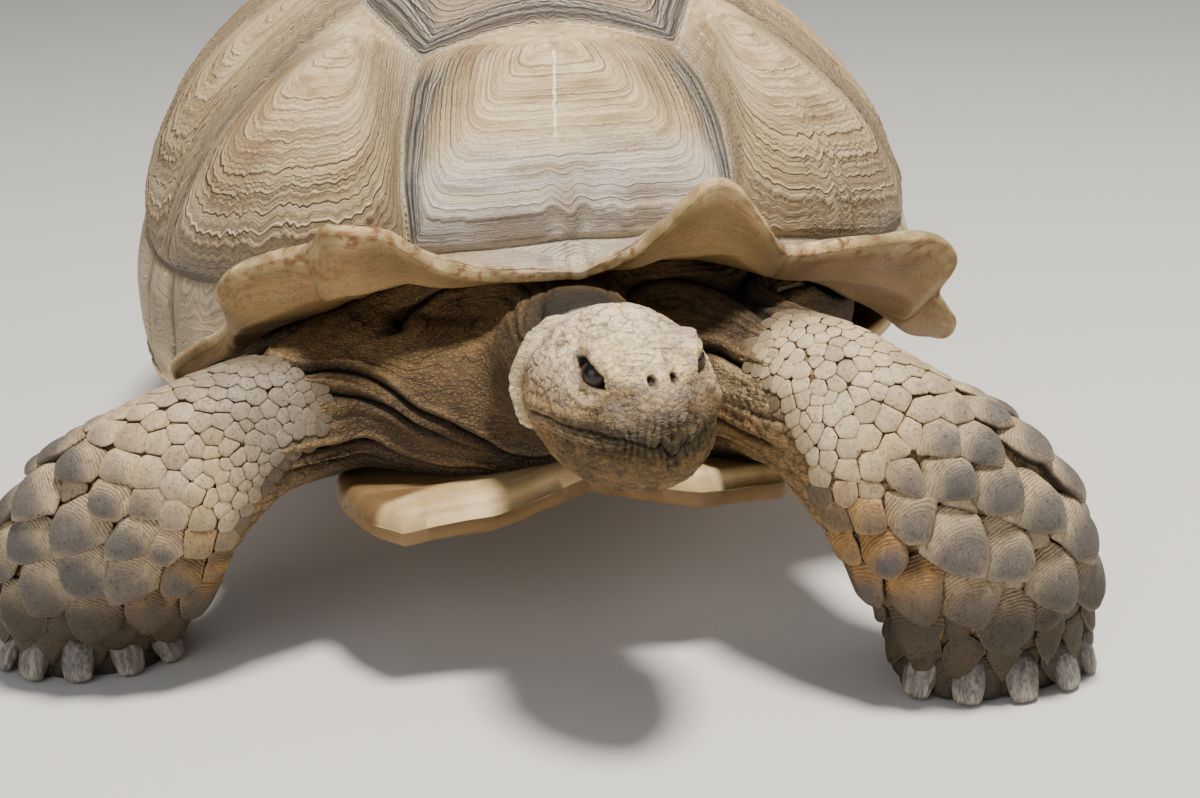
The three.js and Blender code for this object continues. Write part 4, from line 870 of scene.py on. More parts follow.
def carapace_mesh():
    dome = dome_shape()
    side, ahead = SHELL_GRID + 1, SHELL_GRID // 2
    index = np.arange(side**2).reshape(side, side)
    border = np.concatenate([index[0, ahead:-1], index[:-1, -1], index[-1, :0:-1], index[:0:-1, 0],
                             index[0, :ahead]])
    points, t, under, near, ring, turn = rim_shape(dome.turn[border])
    count, base = len(border), len(dome.points)
    rows = len(points) // count
    k = base + np.arange(count)
    nxt = np.roll(k, -1)
    faces = [
        grid_faces(side, side),
        np.stack([k, nxt, np.roll(border, -1), border], -1),
        base + grid_faces(rows, count, closed=True, flip=True),
        fan(k + (rows - 1) * count, base + rows * count)[:, [1, 0, 2]],
    ]
    tint, lines, slate = dome_paint(dome)
    y, (low, high) = dome.p[:, 1], SCRATCH
    rest = np.zeros(len(points))
    scratched = (dome.number == 0) * ease(high - 0.01, high + 0.03, y) * ease(low + 0.005, low, y)
    fields = {
        "tint": (tint, rim_paint(points, t, under, near, turn)),
        "ring": (dome.ring, ring),
        "lines": (lines, 0.5 * (1 - 0.8 * under)),
        "scratch": (dome.across + 7 * (low - y) / (low - high), rest + 9),
        "scratched": (scratched, rest),
        "border": (np.minimum(dome.seam, 60), 60 + near),
        "slate": (slate, rest),
    }
    fields = {name: np.concatenate(pair) for name, pair in fields.items()}
    return np.concatenate([dome.points, points]), faces, fields


def shell_look():
    look = Look("shell_horn", Specular_IOR_Level=0.3)
    lines, slate = look.value("lines"), look.value("slate")
    count = look.heap(look.value("ring"), (look.noise(7, 2), 0.5))
    step = look.math("FRACT", count)
    own = look.step("TexWhiteNoise", 0, {"W": look.math("FLOOR", count)}, noise_dimensions="1D")
    own = look.times(look.span(own, 0.1, 1.0, 0.3, 1.0), lines)
    patchy = look.span(look.noise(15, 3), 0.28, 0.55, 0.45, 1.0)
    ledge = look.times(look.span(step, 0.74, 0.92), look.span(step, 1.0, 0.95), own, patchy)
    lip = look.times(look.span(step, 0.4, 0.62), look.span(step, 0.8, 0.68), own)

    # thin lines between the ledges, and in the dark bands along the seams
    between = look.streaks(look.heap(count, (look.noise(24, 3), 0.6)), 3.6)
    between = look.times(look.span(between, 0.36, 0.62), look.span(lines, 0.0, 1.0, 0.25, 1.0))
    hair = look.streaks(look.heap(count, (look.noise(16, 3), 0.8)), 8.5)
    hair = look.times(look.span(hair, 0.44, 0.6), look.span(lines, 0.0, 1.0, 0.3, 1.0))
    beside = look.streaks(look.heap(look.value("border"), (look.noise(30, 3), 3.0)), 0.55)
    pale = look.times(look.span(beside, 0.52, 0.64), slate)
    black = look.times(look.span(beside, 0.5, 0.38), slate)

    grain = look.noise(1.1, 4)
    pores = look.span(look.noise(2.6, 5, roughness=0.75), 0.52, 0.68)
    scratch = look.heap(look.math("SUBTRACT", look.value("scratch"), 2.0), (look.noise(9, 3), 4.0))
    ragged = look.span(look.noise(3, 3), 0.3, 0.6, 0.3, 1.3)
    scratch = look.span(look.math("DIVIDE", look.math("ABSOLUTE", scratch), ragged), 1.0, 0.5)
    colour = look.cover(
        look.paint("tint"),
        ((0.92, 0.72, 0.46), lip, 0.5),
        ((0.15, 0.09, 0.044), between, 0.48),
        ((0.09, 0.06, 0.034), hair, 0.36),
        ((0.86, 0.74, 0.54), look.span(look.noise(1.7, 5, roughness=0.8), 0.6, 0.7), 0.35),
        ((0.62, 0.58, 0.5), pale, 0.55),
        ((0.018, 0.022, 0.03), black, 0.75),
        # Painted shade: each growth ring's drop is painted dark, partly the ring's own dark line and partly
        # shade in its undercut.
        ((0.045, 0.026, 0.013), ledge, 0.92),
        ((0.11, 0.07, 0.04), pores, 0.3),
        ((0.1, 0.065, 0.04), look.span(grain, 0.35, 0.75, 0.0, 0.25)),
        ((0.84, 0.79, 0.71), scratch, look.value("scratched"), 0.85),
    )
    terraces = look.times(look.math("POWER", step, 1.5), own, 0.6)
    height = look.heap(terraces, (ledge, -0.85), (between, -0.18), (hair, -0.08), (black, -0.2),
                       (grain, 0.14), (pores, -0.08))
    return look.finish(colour, look.span(look.noise(30, 3), 0.3, 0.7, 0.5, 0.72), height, 1.6)


def build_carapace():
    points, faces, fields = carapace_mesh()
    shell = mesh_object("shell", points, faces, shell_look(), **fields)
    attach(shell, "root")
    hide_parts("carapace")


# ---------------------------------------------------------------- plastron
# Along y: half its width and how high its side turns up to meet the rim.
PLASTRON = [
    (-374, 112, 0),
    (-345, 132, 0),
    (-300, 146, 4),
    (-240, 138, 8),
    (-190, 150, 14),
    (-150, 222, 30),
    (-110, 250, 36),
    (95, 250, 36),
    (150, 222, 30),
    (195, 148, 14),
    (250, 128, 6),
    (300, 92, 8),
]
PLASTRON_GRID = (220, 101)  # points along and across each of its faces
PLASTRON_THICK = 14
GULAR_THICK = 24
GULAR_NOTCH = 30
GULAR_LEFT_SHORT = 26
ANAL_NOTCH = 34
PLASTRON_SEAMS = [-318, -205, -70, 95, 205]
plastron_half, plastron_lift = rims(PLASTRON)


def underside_at(side, y):
    lobe = np.clip((-y - 200) / 170, 0, 1) ** 2 * (20 - 13 * np.abs(side))
    return BELLY + lobe + plastron_lift(y) * np.maximum(0, (np.abs(side) - 0.45) / 0.55) ** 1.5


def plastron_shape():
    """The flat shell of the belly, with the forked gulars in front worn round at their edges: its points, its
    faces, and for each point its distance to a seam and how far in front it lies."""
    first, last = PLASTRON[0][0], PLASTRON[-1][0]
    rows, columns = PLASTRON_GRID
    around = np.sin(np.linspace(-np.pi / 2, np.pi / 2, columns))
    t, side = np.meshgrid(np.linspace(0, 1, rows) ** 1.05, around, indexing="ij")
    y = lerp(first, last, t)
    notch = GULAR_NOTCH * np.maximum(0, 1 - np.abs(side) * 1.9) ** 1.2 * np.maximum(0, 1 - t * 6)
    anal = ANAL_NOTCH * np.maximum(0, 1 - np.abs(side) * 1.6) * np.maximum(0, 1 - (1 - t) * 8)
    worn = GULAR_LEFT_SHORT * np.maximum(0, side) ** 2 * np.maximum(0, 1 - t * 8)
    thick = lerp(PLASTRON_THICK, GULAR_THICK, np.clip((-y - 200) / 170, 0, 1))
    x = side * plastron_half(y)
    gap = np.minimum(plastron_half(y) * (1 - np.abs(side)), np.minimum(t, 1 - t) * (last - first))
    flat = xyz(x, y + notch - anal + worn)
    seams = np.minimum(np.abs(x), np.min([np.abs(y + 18 * (x / 150) ** 2 - s) for s in PLASTRON_SEAMS], 0))
    lines = ring_relief(np.minimum(seams, 90) / 5 + 0.8 * noise(flat, 40, 3), 0.6)
    sunk = (1.1 * ease(3.5, 0, seams) + 0.25 * lines) * ease(0, 8, gap)
    round_over = np.sqrt(np.clip(1 - (1 - np.clip(gap / (thick * 0.42), 0, 1)) ** 2, 0, 1))
    sheets = []
    for way, seed in ((1, 51), (-1, 50)):
        z = underside_at(side, y) + thick * 0.5 + way * (thick * 0.5 * round_over)
        z = z - way * sunk + rough(flat, 30, 3, seed) * 1.1 * ease(-200, -330, y)
        sheets.append((flat + xyz(0, 0, z)).reshape(-1, 3))
    count = rows * columns
    index = np.arange(count).reshape(rows, columns)
    rim = np.concatenate([index[0, :-1], index[:-1, -1], index[-1, :0:-1], index[:0:-1, 0]])
    nxt = np.roll(rim, -1)
    quads = [grid_faces(rows, columns, flip=True), grid_faces(rows, columns) + count]
    quads.append(np.stack([rim, nxt, nxt + count, rim + count], -1))
    return np.concatenate(sheets), quads, np.tile(seams.ravel(), 2), np.tile(ease(-230, -345, y).ravel(), 2)


def plastron_paint(points, seams, front):
    """Brown, darker in front as painted shade over the front lobes' faces, with a pale cream strip along the
    gulars' upper edge painted as sunlit.
    """
    upper = np.arange(len(points)) < len(points) // 2
    x, y, _ = points.T
    broad, fine = rough(points, 60, 3, 60), rough(points, 9, 3, 61)
    sunlit_line = (x + 124) * 0.54 - (y + 358) * 0.84 + 2 * fine
    sunlit_strip = upper * np.where(x < 0, ease(-5, 1, sunlit_line), ease(-288, -310, y))
    return paints(
        (0.33, 0.2, 0.075),
        (0.5 + 0.9 * broad, (0.45, 0.3, 0.13)),
        # Painted shade: the front lobes' upper faces lie dark as in the shell's shade, and their lower faces
        # are their own brown painted darker as shade.
        (upper * front, (0.13, 0.078, 0.03)),
        (~upper * front * 0.85, (0.165, 0.092, 0.03)),
        (~upper * front * ease(0.0, 0.5, broad + 0.5 * fine) * 0.6, (0.09, 0.05, 0.018)),
        # Painted sunlight: a pale cream strip along the gulars' upper edge, lit where the rest of the upper
        # face is painted in shade.
        (sunlit_strip * (0.85 + 0.3 * broad), (0.62, 0.44, 0.21)),
        (sunlit_strip * ease(0.0, 0.5, rough(points, 22, 3, 63)) * 0.5, (0.8, 0.64, 0.4)),
        (sunlit_strip * ease(0.1, 0.6, fine) * 0.4, (0.5, 0.32, 0.13)),
        (ease(0.1, 0.6, rough(points, 35, 3, 62)) * (1 - front) * 0.6, (0.2, 0.13, 0.07)),
        (ease(2.5, 0.6, seams) * 0.5, (0.2, 0.12, 0.06)),
        (ease(0.25, 0.5, fine) * 0.3, (0.26, 0.15, 0.06)),
    )


def plastron_look():
    look = Look("plastron_horn", Specular_IOR_Level=0.4)
    streak = look.noise(26, 4, look.place((0.35, 1.6, 1)))
    colour = look.cover(
        look.paint("tint"),
        ((0.3, 0.18, 0.08), look.span(streak, 0.42, 0.7, 0, 0.35)),
        ((0.15, 0.09, 0.04), look.span(look.noise(1.6, 4), 0.35, 0.8, 0, 0.25)),
    )
    height = look.heap(look.times(streak, 0.5), (look.noise(2.4, 4), 0.5))
    return look.finish(colour, look.span(streak, 0.3, 0.7, 0.42, 0.6), height, 0.5)


def build_plastron():
    points, faces, seams, front = plastron_shape()
    tint = plastron_paint(points, seams, front)
    made = mesh_object("belly_shell", points, faces, plastron_look(), tint=tint)
    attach(made, "root")
    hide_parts("plastron")


# ---------------------------------------------------------------- courses of limbs, neck and tail
class Course:
    """A smooth course of sections. A station is (point, wide, deep, way of the wide side)."""

    def __init__(self, stations, square=1.0):
        self.stations = stations
        self.square = square
        self.last = len(stations) - 1
        k = np.arange(len(stations))
        self.knots = np.array([s[0] for s in stations], float)
        table = np.array([[s[1], s[2], *unit(s[3])] for s in stations], float).T
        self.curves = [through(k, row) for row in table]

    def axis(self, place):
        p = self.knots
        p = np.concatenate([[2 * p[0] - p[1]], p, [2 * p[-1] - p[-2]]])
        place = np.clip(np.asarray(place, float), 0, self.last)
        i = np.minimum(np.floor(place).astype(int), self.last - 1)
        w = (place - i)[..., None]
        x0, x1, x2, x3 = (p[i + j] for j in range(4))
        d0, d1, d2 = (np.sqrt(np.linalg.norm(b - a, axis=-1, keepdims=True)) for a, b in
                      ((x0, x1), (x1, x2), (x2, x3)))
        t1 = ((x1 - x0) / d0 - (x2 - x0) / (d0 + d1) + (x2 - x1) / d1) * d1
        t2 = ((x2 - x1) / d1 - (x3 - x1) / (d1 + d2) + (x3 - x2) / d2) * d1
        return x1 + t1 * w + (-3 * x1 + 3 * x2 - 2 * t1 - t2) * w**2 + (2 * x1 - 2 * x2 + t1 + t2) * w**3

    def frame(self, place):
        place = np.clip(np.asarray(place, float), 0, self.last)
        e = 1e-3
        lie = unit(self.axis(np.minimum(place + e, self.last)) - self.axis(np.maximum(place - e, 0)))
        wide, deep, x, y, z = (c(place) for c in self.curves)
        side = xyz(x, y, z)
        side = unit(side - (side * lie).sum(-1, keepdims=True) * lie)
        return self.axis(place), lie, side, unit(np.cross(lie, side)), wide, deep

    def point(self, place, angle, scale=1.0, shift=0.0):
        at, lie, side, up, wide, deep = self.frame(place)
        c, s = bent(np.cos(angle), self.square), bent(np.sin(angle), self.square)
        for way, length in ((lie, shift), (side, c * wide * scale), (up, s * deep * scale)):
            at = at + way * np.asarray(length)[..., None]
        return at

    def around(self, points):
        """The place along, the angle round and the share of the way out from the axis, for points near it."""
        places = np.linspace(0, self.last, 40 * self.last)
        at = self.axis(places)
        best = np.empty(len(points))
        for i in range(0, len(points), 20000):
            part = points[i : i + 20000]
            far = (part**2).sum(1)[:, None] - 2 * part @ at.T + (at**2).sum(1)
            best[i : i + 20000] = places[np.argmin(far, 1)]
        at, lie, side, up, wide, deep = self.frame(best)
        off = points - at
        a, b = (off * side).sum(-1) / wide, (off * up).sum(-1) / deep
        ca, sb = bent(a, 1 / self.square), bent(b, 1 / self.square)
        return best, np.arctan2(sb, ca), (ca**2 + sb**2) ** (self.square / 2), (off * lie).sum(-1)

    def body(self, sides=48, rows=70, round_start=0.5, round_end=0.5):
        """The rings of the whole body, its ends rounded over."""
        a = np.linspace(0, 2 * np.pi, sides, endpoint=False)
        over = np.radians([78, 60, 42, 22])

        def end(place, reach):
            reach = reach * self.curves[1](place)
            return [self.point(place + 0 * a, a, math.cos(b), math.sin(b) * reach + 0 * a) for b in over]

        main = [self.point(p + 0 * a, a) for p in np.linspace(0, self.last, rows)]
        return np.array(end(0, -round_start) + main + end(self.last, round_end)[::-1])


SIDES = ((1, "left"), (-1, "right"))
LIMB_SQUARE = 0.85
FORELIMBS = {
    1: Course([
        ((92, -225, 150), 46, 50, (0.6, 0, 0.8)),
        ((106, -312, 152), 46, 46, (0.7, 0, 0.7)),
        ((128, -380, 156), 46, 42, (0.77, 0, 0.64)),
        ((152, -408, 136), 54, 38, (0.77, 0, 0.64)),
        ((184, -424, 104), 58, 34, (0.8, 0, 0.6)),
        ((207, -424, 66), 57, 32, (0.92, 0, 0.4)),
        ((213, -414, 30), 54, 34, (1, 0, 0.1)),
        ((214, -408, -10), 52, 36, (1, 0, 0)),
    ], LIMB_SQUARE),
    -1: Course([
        ((-92, -205, 150), 50, 50, (-0.5, 0, 0.86)),
        ((-140, -270, 146), 44, 46, (-0.4, 0, 0.9)),
        ((-196, -306, 140), 42, 42, (-0.5, 0, 0.86)),
        ((-234, -320, 120), 52, 38, (-0.64, 0, 0.77)),
        ((-266, -316, 92), 56, 34, (-0.74, 0, 0.67)),
        ((-288, -298, 58), 53, 32, (-0.9, 0, 0.4)),
        ((-294, -280, 28), 50, 33, (-1, 0, 0.1)),
        ((-295, -272, -10), 48, 35, (-1, 0, 0)),
    ], LIMB_SQUARE),
}
HINDLIMBS = {
    1: Course([
        ((95, 190, 150), 60, 50, (0, 1, 0)),
        ((150, 222, 140), 62, 48, (-0.2, 1, 0)),
        ((192, 244, 110), 56, 44, (-0.2, 1, 0)),
        ((206, 256, 70), 47, 43, (-0.1, 1, 0)),
        ((206, 258, 30), 47, 45, (0, 1, 0)),
        ((206, 256, -10), 48, 46, (0, 1, 0)),
    ]),
    -1: Course([
        ((-95, 160, 150), 60, 50, (0, 1, 0)),
        ((-150, 176, 140), 62, 48, (0, 1, 0)),
        ((-192, 178, 110), 56, 44, (0, 1, 0)),
        ((-205, 170, 70), 47, 43, (0, 1, 0)),
        ((-206, 166, 30), 47, 45, (0, 1, 0)),
        ((-206, 164, -10), 48, 46, (0, 1, 0)),
    ]),
}
NECK = Course([
    ((0, -215, 168), 62, 52, (1, 0, 0)),
    ((-4, -290, 168), 56, 48, (1, 0, 0)),
    ((-6, -345, 178), 48, 43, (1, 0, 0)),
    ((-4, -385, 186), 44, 40, (1, 0, 0)),
    ((2, -410, 190), 38, 34, (1, 0, 0)),
])
TAIL = Course([
    ((0, 262, 142), 36, 30, (1, 0, 0)),
    ((2, 305, 122), 28, 24, (1, 0, 0)),
    ((8, 335, 96), 19, 17, (1, 0.2, 0)),
    ((18, 350, 66), 11, 10, (1, 0.3, 0)),
    ((24, 352, 46), 5, 5, (1, 0.3, 0)),
])

# ---------------------------------------------------------------- the head's own frame
HEAD_AT = np.array([-3, -384, 190])
HEAD_YAW = 12
HEAD_PITCH = 3
HEAD_SQUARE = 0.82
# Way forward, half the width, heights up and down from the axis.
HEAD = np.array([
    (0, 42, 34, 34),
    (14, 46, 42, 42),
    (34, 48, 47, 46),
    (54, 47, 47, 45),
    (72, 42, 42, 41),
    (88, 33, 34, 35),
    (100, 23, 26, 27),
    (107, 13, 16, 19),
    (110, 6, 8, 13),
], float)
CROWN_TAPER = 0.28
JAW_TAPER = 0.14
MOUTH = np.array([(33, -4), (50, -1), (68, 0), (88, 2), (98, 1), (125, -3)], float)
EYE = np.array([24.5, 69, 26.5])  # across, out and up, on the animal's left
EYE_RADIUS = 9
EYE_TILT = -20
LID_HALF = (12, 4.2)
NOSTRIL = np.array([5.5, 92, 28])


def head_turn():
    yaw, pitch = math.radians(HEAD_YAW), math.radians(HEAD_PITCH)
    z = np.array([[math.cos(yaw), -math.sin(yaw), 0], [math.sin(yaw), math.cos(yaw), 0], [0, 0, 1]])
    x = np.array([[1, 0, 0], [0, math.cos(pitch), -math.sin(pitch)], [0, math.sin(pitch), math.cos(pitch)]])
    return z @ x


def on_head(q):
    """From (across, out, up) to the standing frame."""
    q = np.asarray(q, float)
    return (q * [1, -1, 1]) @ head_turn().T + HEAD_AT


def in_head(p):
    return ((np.asarray(p, float) - HEAD_AT) @ head_turn()) * [1, -1, 1]


def head_rings(sides=64):
    half, up, down = (through(HEAD[:, 0], HEAD[:, k]) for k in (1, 2, 3))
    outs = np.concatenate([[-8, -4], np.linspace(0, 104, 60), [106, 107.5, 109, 110]])
    a = 2 * np.pi * (np.arange(sides) + 0.5) / sides
    rings = []
    c, s = bent(np.cos(a), HEAD_SQUARE), bent(np.sin(a), HEAD_SQUARE)
    for out in outs:
        tall = np.where(s > 0, up(out), down(out))
        end = lerp(0.7, 1, min(1, (out + 8) / 8))
        wide = half(out) * (1 - np.where(s < 0, JAW_TAPER, CROWN_TAPER) * s * s)
        rings.append(on_head(xyz(c * wide * end, out, s * tall * end)))
    return np.array(rings)


# ---------------------------------------------------------------- skin
SKIN_VOXEL = 3.0
TORSO_INSET = 10
BROWN_SKIN = (0.078, 0.051, 0.026)
# The skin's own brown-gold under the rim, painted lighter as light thrown back into the rim's shade.
UNDER_RIM_SKIN_BOUNCE_LIT = (0.205, 0.126, 0.05)
LEG_TAN = (0.27, 0.185, 0.1)
ORANGE_TAN = (0.36, 0.2, 0.07)
# Painted shade inside the skin's folds and creases.
FOLD_SHADE = (0.035, 0.024, 0.015)
HEAD_GREY = (0.4, 0.3, 0.19)
HEAD_PALE = (0.74, 0.62, 0.44)
HEAD_YELLOW = (0.74, 0.58, 0.31)
HEAD_BROWN = (0.17, 0.105, 0.052)
# The throat's own warm brown, painted darker as shade under the head.
SHADED_THROAT = (0.2, 0.115, 0.046)
OLIVE = (0.06, 0.042, 0.016)
FOLD_CREAM = (0.8, 0.68, 0.42)

# The deep folds across the chest: their heights at places across the animal, from the lowest fold up.
FOLD_ACROSS = [-200, -170, -145, -120, -95, -70, -45, -25, 30, 110]
DEEP_FOLDS = [
    [120, 120, 117, 110, 105, 102, 99, 97, 102, 104],
    [129, 127, 125, 120, 112, 108, 104, 102, 112, 115],
    [140, 136, 135, 131, 120, 115, 110, 107, 124, 128],
    [181, 176, 166, 157, 143, 131, 117, 113, 138, 143],
    [184, 181, 177, 169, 154, 140, 124, 119, 150, 158],
    [190, 187, 184, 182, 184, 193, 200, 204, 178, 180],
    [196, 193, 190, 190, 196, 208, 214, 216, 205, 200],
]
FOLD_FADES = [-0.5, -0.2, -0.9, -0.1, -0.9, -0.3, -0.7]  # how far each runs: -1 the whole way

CHEST = Course([
    ((-150, -258, 150), 44, 40, (0, 0.2, 1)),
    ((-80, -290, 146), 46, 44, (0, 0.2, 1)),
    ((0, -292, 140), 46, 44, (0, 0.2, 1)),
    ((70, -300, 146), 46, 44, (0, 0.2, 1)),
    ((125, -318, 150), 44, 40, (0, 0.2, 1)),
])


def torso_rings(columns=160):
    """The trunk inside the shell, its hidden top kept low."""
    turns = np.linspace(0, 360, columns, endpoint=False)
    turns = np.where(turns > 180, turns - 360, turns)

    def low(inset, rise):
        p = vault_foot(turns, inset)
        p[..., 2] = underside_at(np.clip(p[..., 0] / plastron_half(p[..., 1]), -1, 1), p[..., 1]) + 7 + rise
        return p

    rows = [low(120, 0), low(80, 0), low(50, 0), low(22, 4), low(TORSO_INSET, 16)]
    rows.append(vault_foot(turns, TORSO_INSET) - [0, 0, 14])
    rows.append(vault_foot(turns, 2))
    foot = rows[-1]
    for reach in (0.8, 0.5, 0.2):
        rows.append(foot * [reach, reach, 1] + [0, 0, 12 * (1 - reach)])
    return np.array(rows)


def remeshed(points, faces, voxel):
    """One closed surface round everything in the mesh, as a new object of even quads."""
    rough_one = mesh_object("skin_parts", points, faces)
    modifier = rough_one.modifiers.new("remesh", "REMESH")
    modifier.mode, modifier.voxel_size, modifier.adaptivity = "VOXEL", voxel * MM, 0
    made = bpy.data.meshes.new_from_object(rough_one.evaluated_get(bpy.context.evaluated_depsgraph_get()))
    bpy.data.objects.remove(rough_one)
    return made


def split_faces(mesh, chosen):
    """Cuts the edges between chosen vertices in two, so that the faces among them become four each."""
    bm = bmesh.new()
    bm.from_mesh(mesh)
    bm.edges.ensure_lookup_table()
    edges = [e for e in bm.edges if chosen[e.verts[0].index] and chosen[e.verts[1].index]]
    bmesh.ops.subdivide_edges(bm, edges=edges, cuts=1, use_grid_fill=True)
    bm.to_mesh(mesh)
    bm.free()


def in_shell(p):
    """How far out in plan a point lies: 1 on the costal seam."""
    turn = turn_of(p)
    return np.linalg.norm(p[..., :2], axis=-1) / np.linalg.norm(plan(turn)[..., :2], axis=-1)


def skin_base():
    """The whole skin, still smooth: fine where it shows and finer on the head."""
    parts = [torso_rings(), CHEST.body(40, 50), NECK.body(48, 40), head_rings(), TAIL.body(28, 40)]
    parts += [limb.body(48, 90) for limb in FORELIMBS.values()]
    parts += [limb.body(44, 70) for limb in HINDLIMBS.values()]
    points, quads, tris = [], [], []
    for rings in parts:
        base = sum(len(p) for p in points)
        made, (four, three) = loft(rings)
        points.append(made)
        quads.append(four + base)
        tris.append(three + base)
    mesh = remeshed(np.concatenate(points), [np.concatenate(quads), np.concatenate(tris)], SKIN_VOXEL)
    p, edges = arrays_of(mesh)
    head = ease(0, 16, in_head(p)[:, 1]) * about_head(p)
    p = spread(spread(p, edges, 5), edges, 34, 0.5 * (1 - head))
    write_points(mesh, p)
    shown = (in_shell(p) > 0.86) | (p[:, 1] < -250)
    shown &= ~((p[:, 2] < 92) & (in_shell(p) < 0.93) & (np.abs(p[:, 0]) < 130) & (p[:, 1] > -300))
    split_faces(mesh, shown)
    p, edges = arrays_of(mesh)
    head = (in_head(p)[:, 1] > -2) & (about_head(p) > 0.5)
    write_points(mesh, spread(p, edges, 3))
    split_faces(mesh, head)
    p, edges = arrays_of(mesh)
    write_points(mesh, spread(p, edges, 3))
    return mesh


def about_head(p):
    """1 round the head and 0 away from it, such as on a leg beside it."""
    across, _, up = in_head(p).T
    return ease(66, 58, np.hypot(across, up))


def grooves(f, sharp=2.0):
    """Valleys at whole numbers of f: 1 at the bottom and 0 between."""
    return (1 - np.abs(np.sin(np.pi * f))) ** sharp


def chest_folds(p, front):
    """The long folds between the neck, the legs and the plastron: gap, how far above the nearest deep one a
    point lies, cut, how much that one is cut in, many, the count of thin folds, and each kind's relief."""
    wavy = p[:, 2] + 3.5 * noise(p * [1, 0.2, 0.6], 45, 84) + 1.6 * noise(p * [1, 0.3, 1], 16, 85)
    lines = np.array([through(FOLD_ACROSS, row)(p[:, 0]) for row in DEEP_FOLDS])
    from_fold = wavy - lines
    nearest = np.abs(from_fold).argmin(0)
    gap = np.take_along_axis(from_fold, nearest[None, :], 0)[0]
    run = np.array(FOLD_FADES)[nearest]
    cut = front * ease(0, 0.35, noise(xyz(p[:, 0] / 70, 3.3 * nearest), 1, 86) - run)
    deep = cut * np.exp(-((gap / 1.7) ** 2))
    roll = cut * (bump(gap, 4.8, 5) + 0.5 * bump(gap, -5.5, 5))
    spans = [(low, np.maximum(high - low, 4)) for low, high in zip(lines, lines[1:])]
    level = sum(np.clip((wavy - low) / span, 0, 1) for low, span in spans)
    level = level + np.maximum(0, wavy - lines[-1]) / 30
    beside_head = ease(15, 50, p[:, 0]) * ease(140, 165, p[:, 2])
    many = level * lerp(3.0, 8.0, beside_head) + 0.5 * noise(p * [0.4, 0.3, 1], 22, 87)
    minor = front * grooves(many, 1.5) * ease(-0.3, 0.5, noise(p * [0.4, 0.4, 1], 34, 88) + 0.4 * beside_head)
    thin = grooves(wavy / 4.2 + 1.2 * noise(p * [0.3, 0.3, 1], 18, 79), 2)
    thin = front * thin * ease(0.0, 0.6, noise(p, 30, 78))
    return SimpleNamespace(gap=gap, cut=cut, many=many, deep=deep, roll=roll, minor=minor, thin=thin)


def body_paint(p, q, b, folds):
    """The skin's colour at p, which is q in the head's frame, with the areas that sculpt_body() found."""
    across, out, up = q.T
    x, y, z = p.T
    shade_behind_head = ease(14, 2, out) * ease(14, 30, up) * ease(74, 56, np.abs(across)) * ease(-130, -90, out)
    shaded = ease(176, 190, z) * ease(60, 85, x) * ease(-372, -352, y) * ease(160, 130, x)
    elbow = ease(52, 70, x) * ease(120, 100, x) * ease(-335, -360, y) * ease(186, 176, z)
    patches = ease(0.0, 0.35, rough(p, 30, 2, 91))
    # creased gathers the folds and creases, which are painted dark as shade inside them.
    creased = np.clip(folds.deep + 0.75 * folds.minor + 0.35 * folds.thin + 0.6 * b.creases, 0, 1)
    return paints(
        BROWN_SKIN,
        (0.5 + 0.8 * rough(p, 80, 3, 81), (0.068, 0.046, 0.026)),
        (ease(0, 0.6, b.mid) * 0.4, (0.13, 0.086, 0.044)),
        (b.front * ease(142, 120, z) * 0.6, (0.115, 0.09, 0.066)),
        # Painted reflected light: the skin under the front of the rim is lifted to brown-gold where the rim
        # shades it, less towards the head.
        (b.front * ease(146, 178, z) * ease(-350, -280, y) * (0.85 + 0.3 * b.mid), UNDER_RIM_SKIN_BOUNCE_LIT),
        (b.legs * 0.85, LEG_TAN),
        (b.legs * ease(0.1, 0.7, rough(p, 40, 3, 92)) * 0.7, (0.16, 0.115, 0.07)),
        (b.inner * (0.3 + 0.7 * patches) * 0.85, ORANGE_TAN),
        (elbow * 0.85, (0.26, 0.165, 0.07)),
        (elbow * ease(150, 164, z) * 0.7, (0.46, 0.36, 0.22)),
        (b.front * ease(0.3, 1, folds.roll) * 0.35, (0.24, 0.165, 0.09)),
        (creased * 0.88, FOLD_SHADE),
        (b.legs * ease(1.3, 0.2, b.tile_gap) * 0.7, (0.08, 0.055, 0.03)),
        # Painted shade: the forefeet's skin near the floor, between the claws.
        (b.fore * ease(44, 26, z) * 0.85, (0.06, 0.042, 0.026)),
        (shaded * (1 - b.legs) * 0.35, (0.03, 0.026, 0.022)),
        # Painted shade: the top of the neck behind the head is painted near black, as in shadow.
        (shade_behind_head * 0.9, (0.014, 0.012, 0.011)),
    )


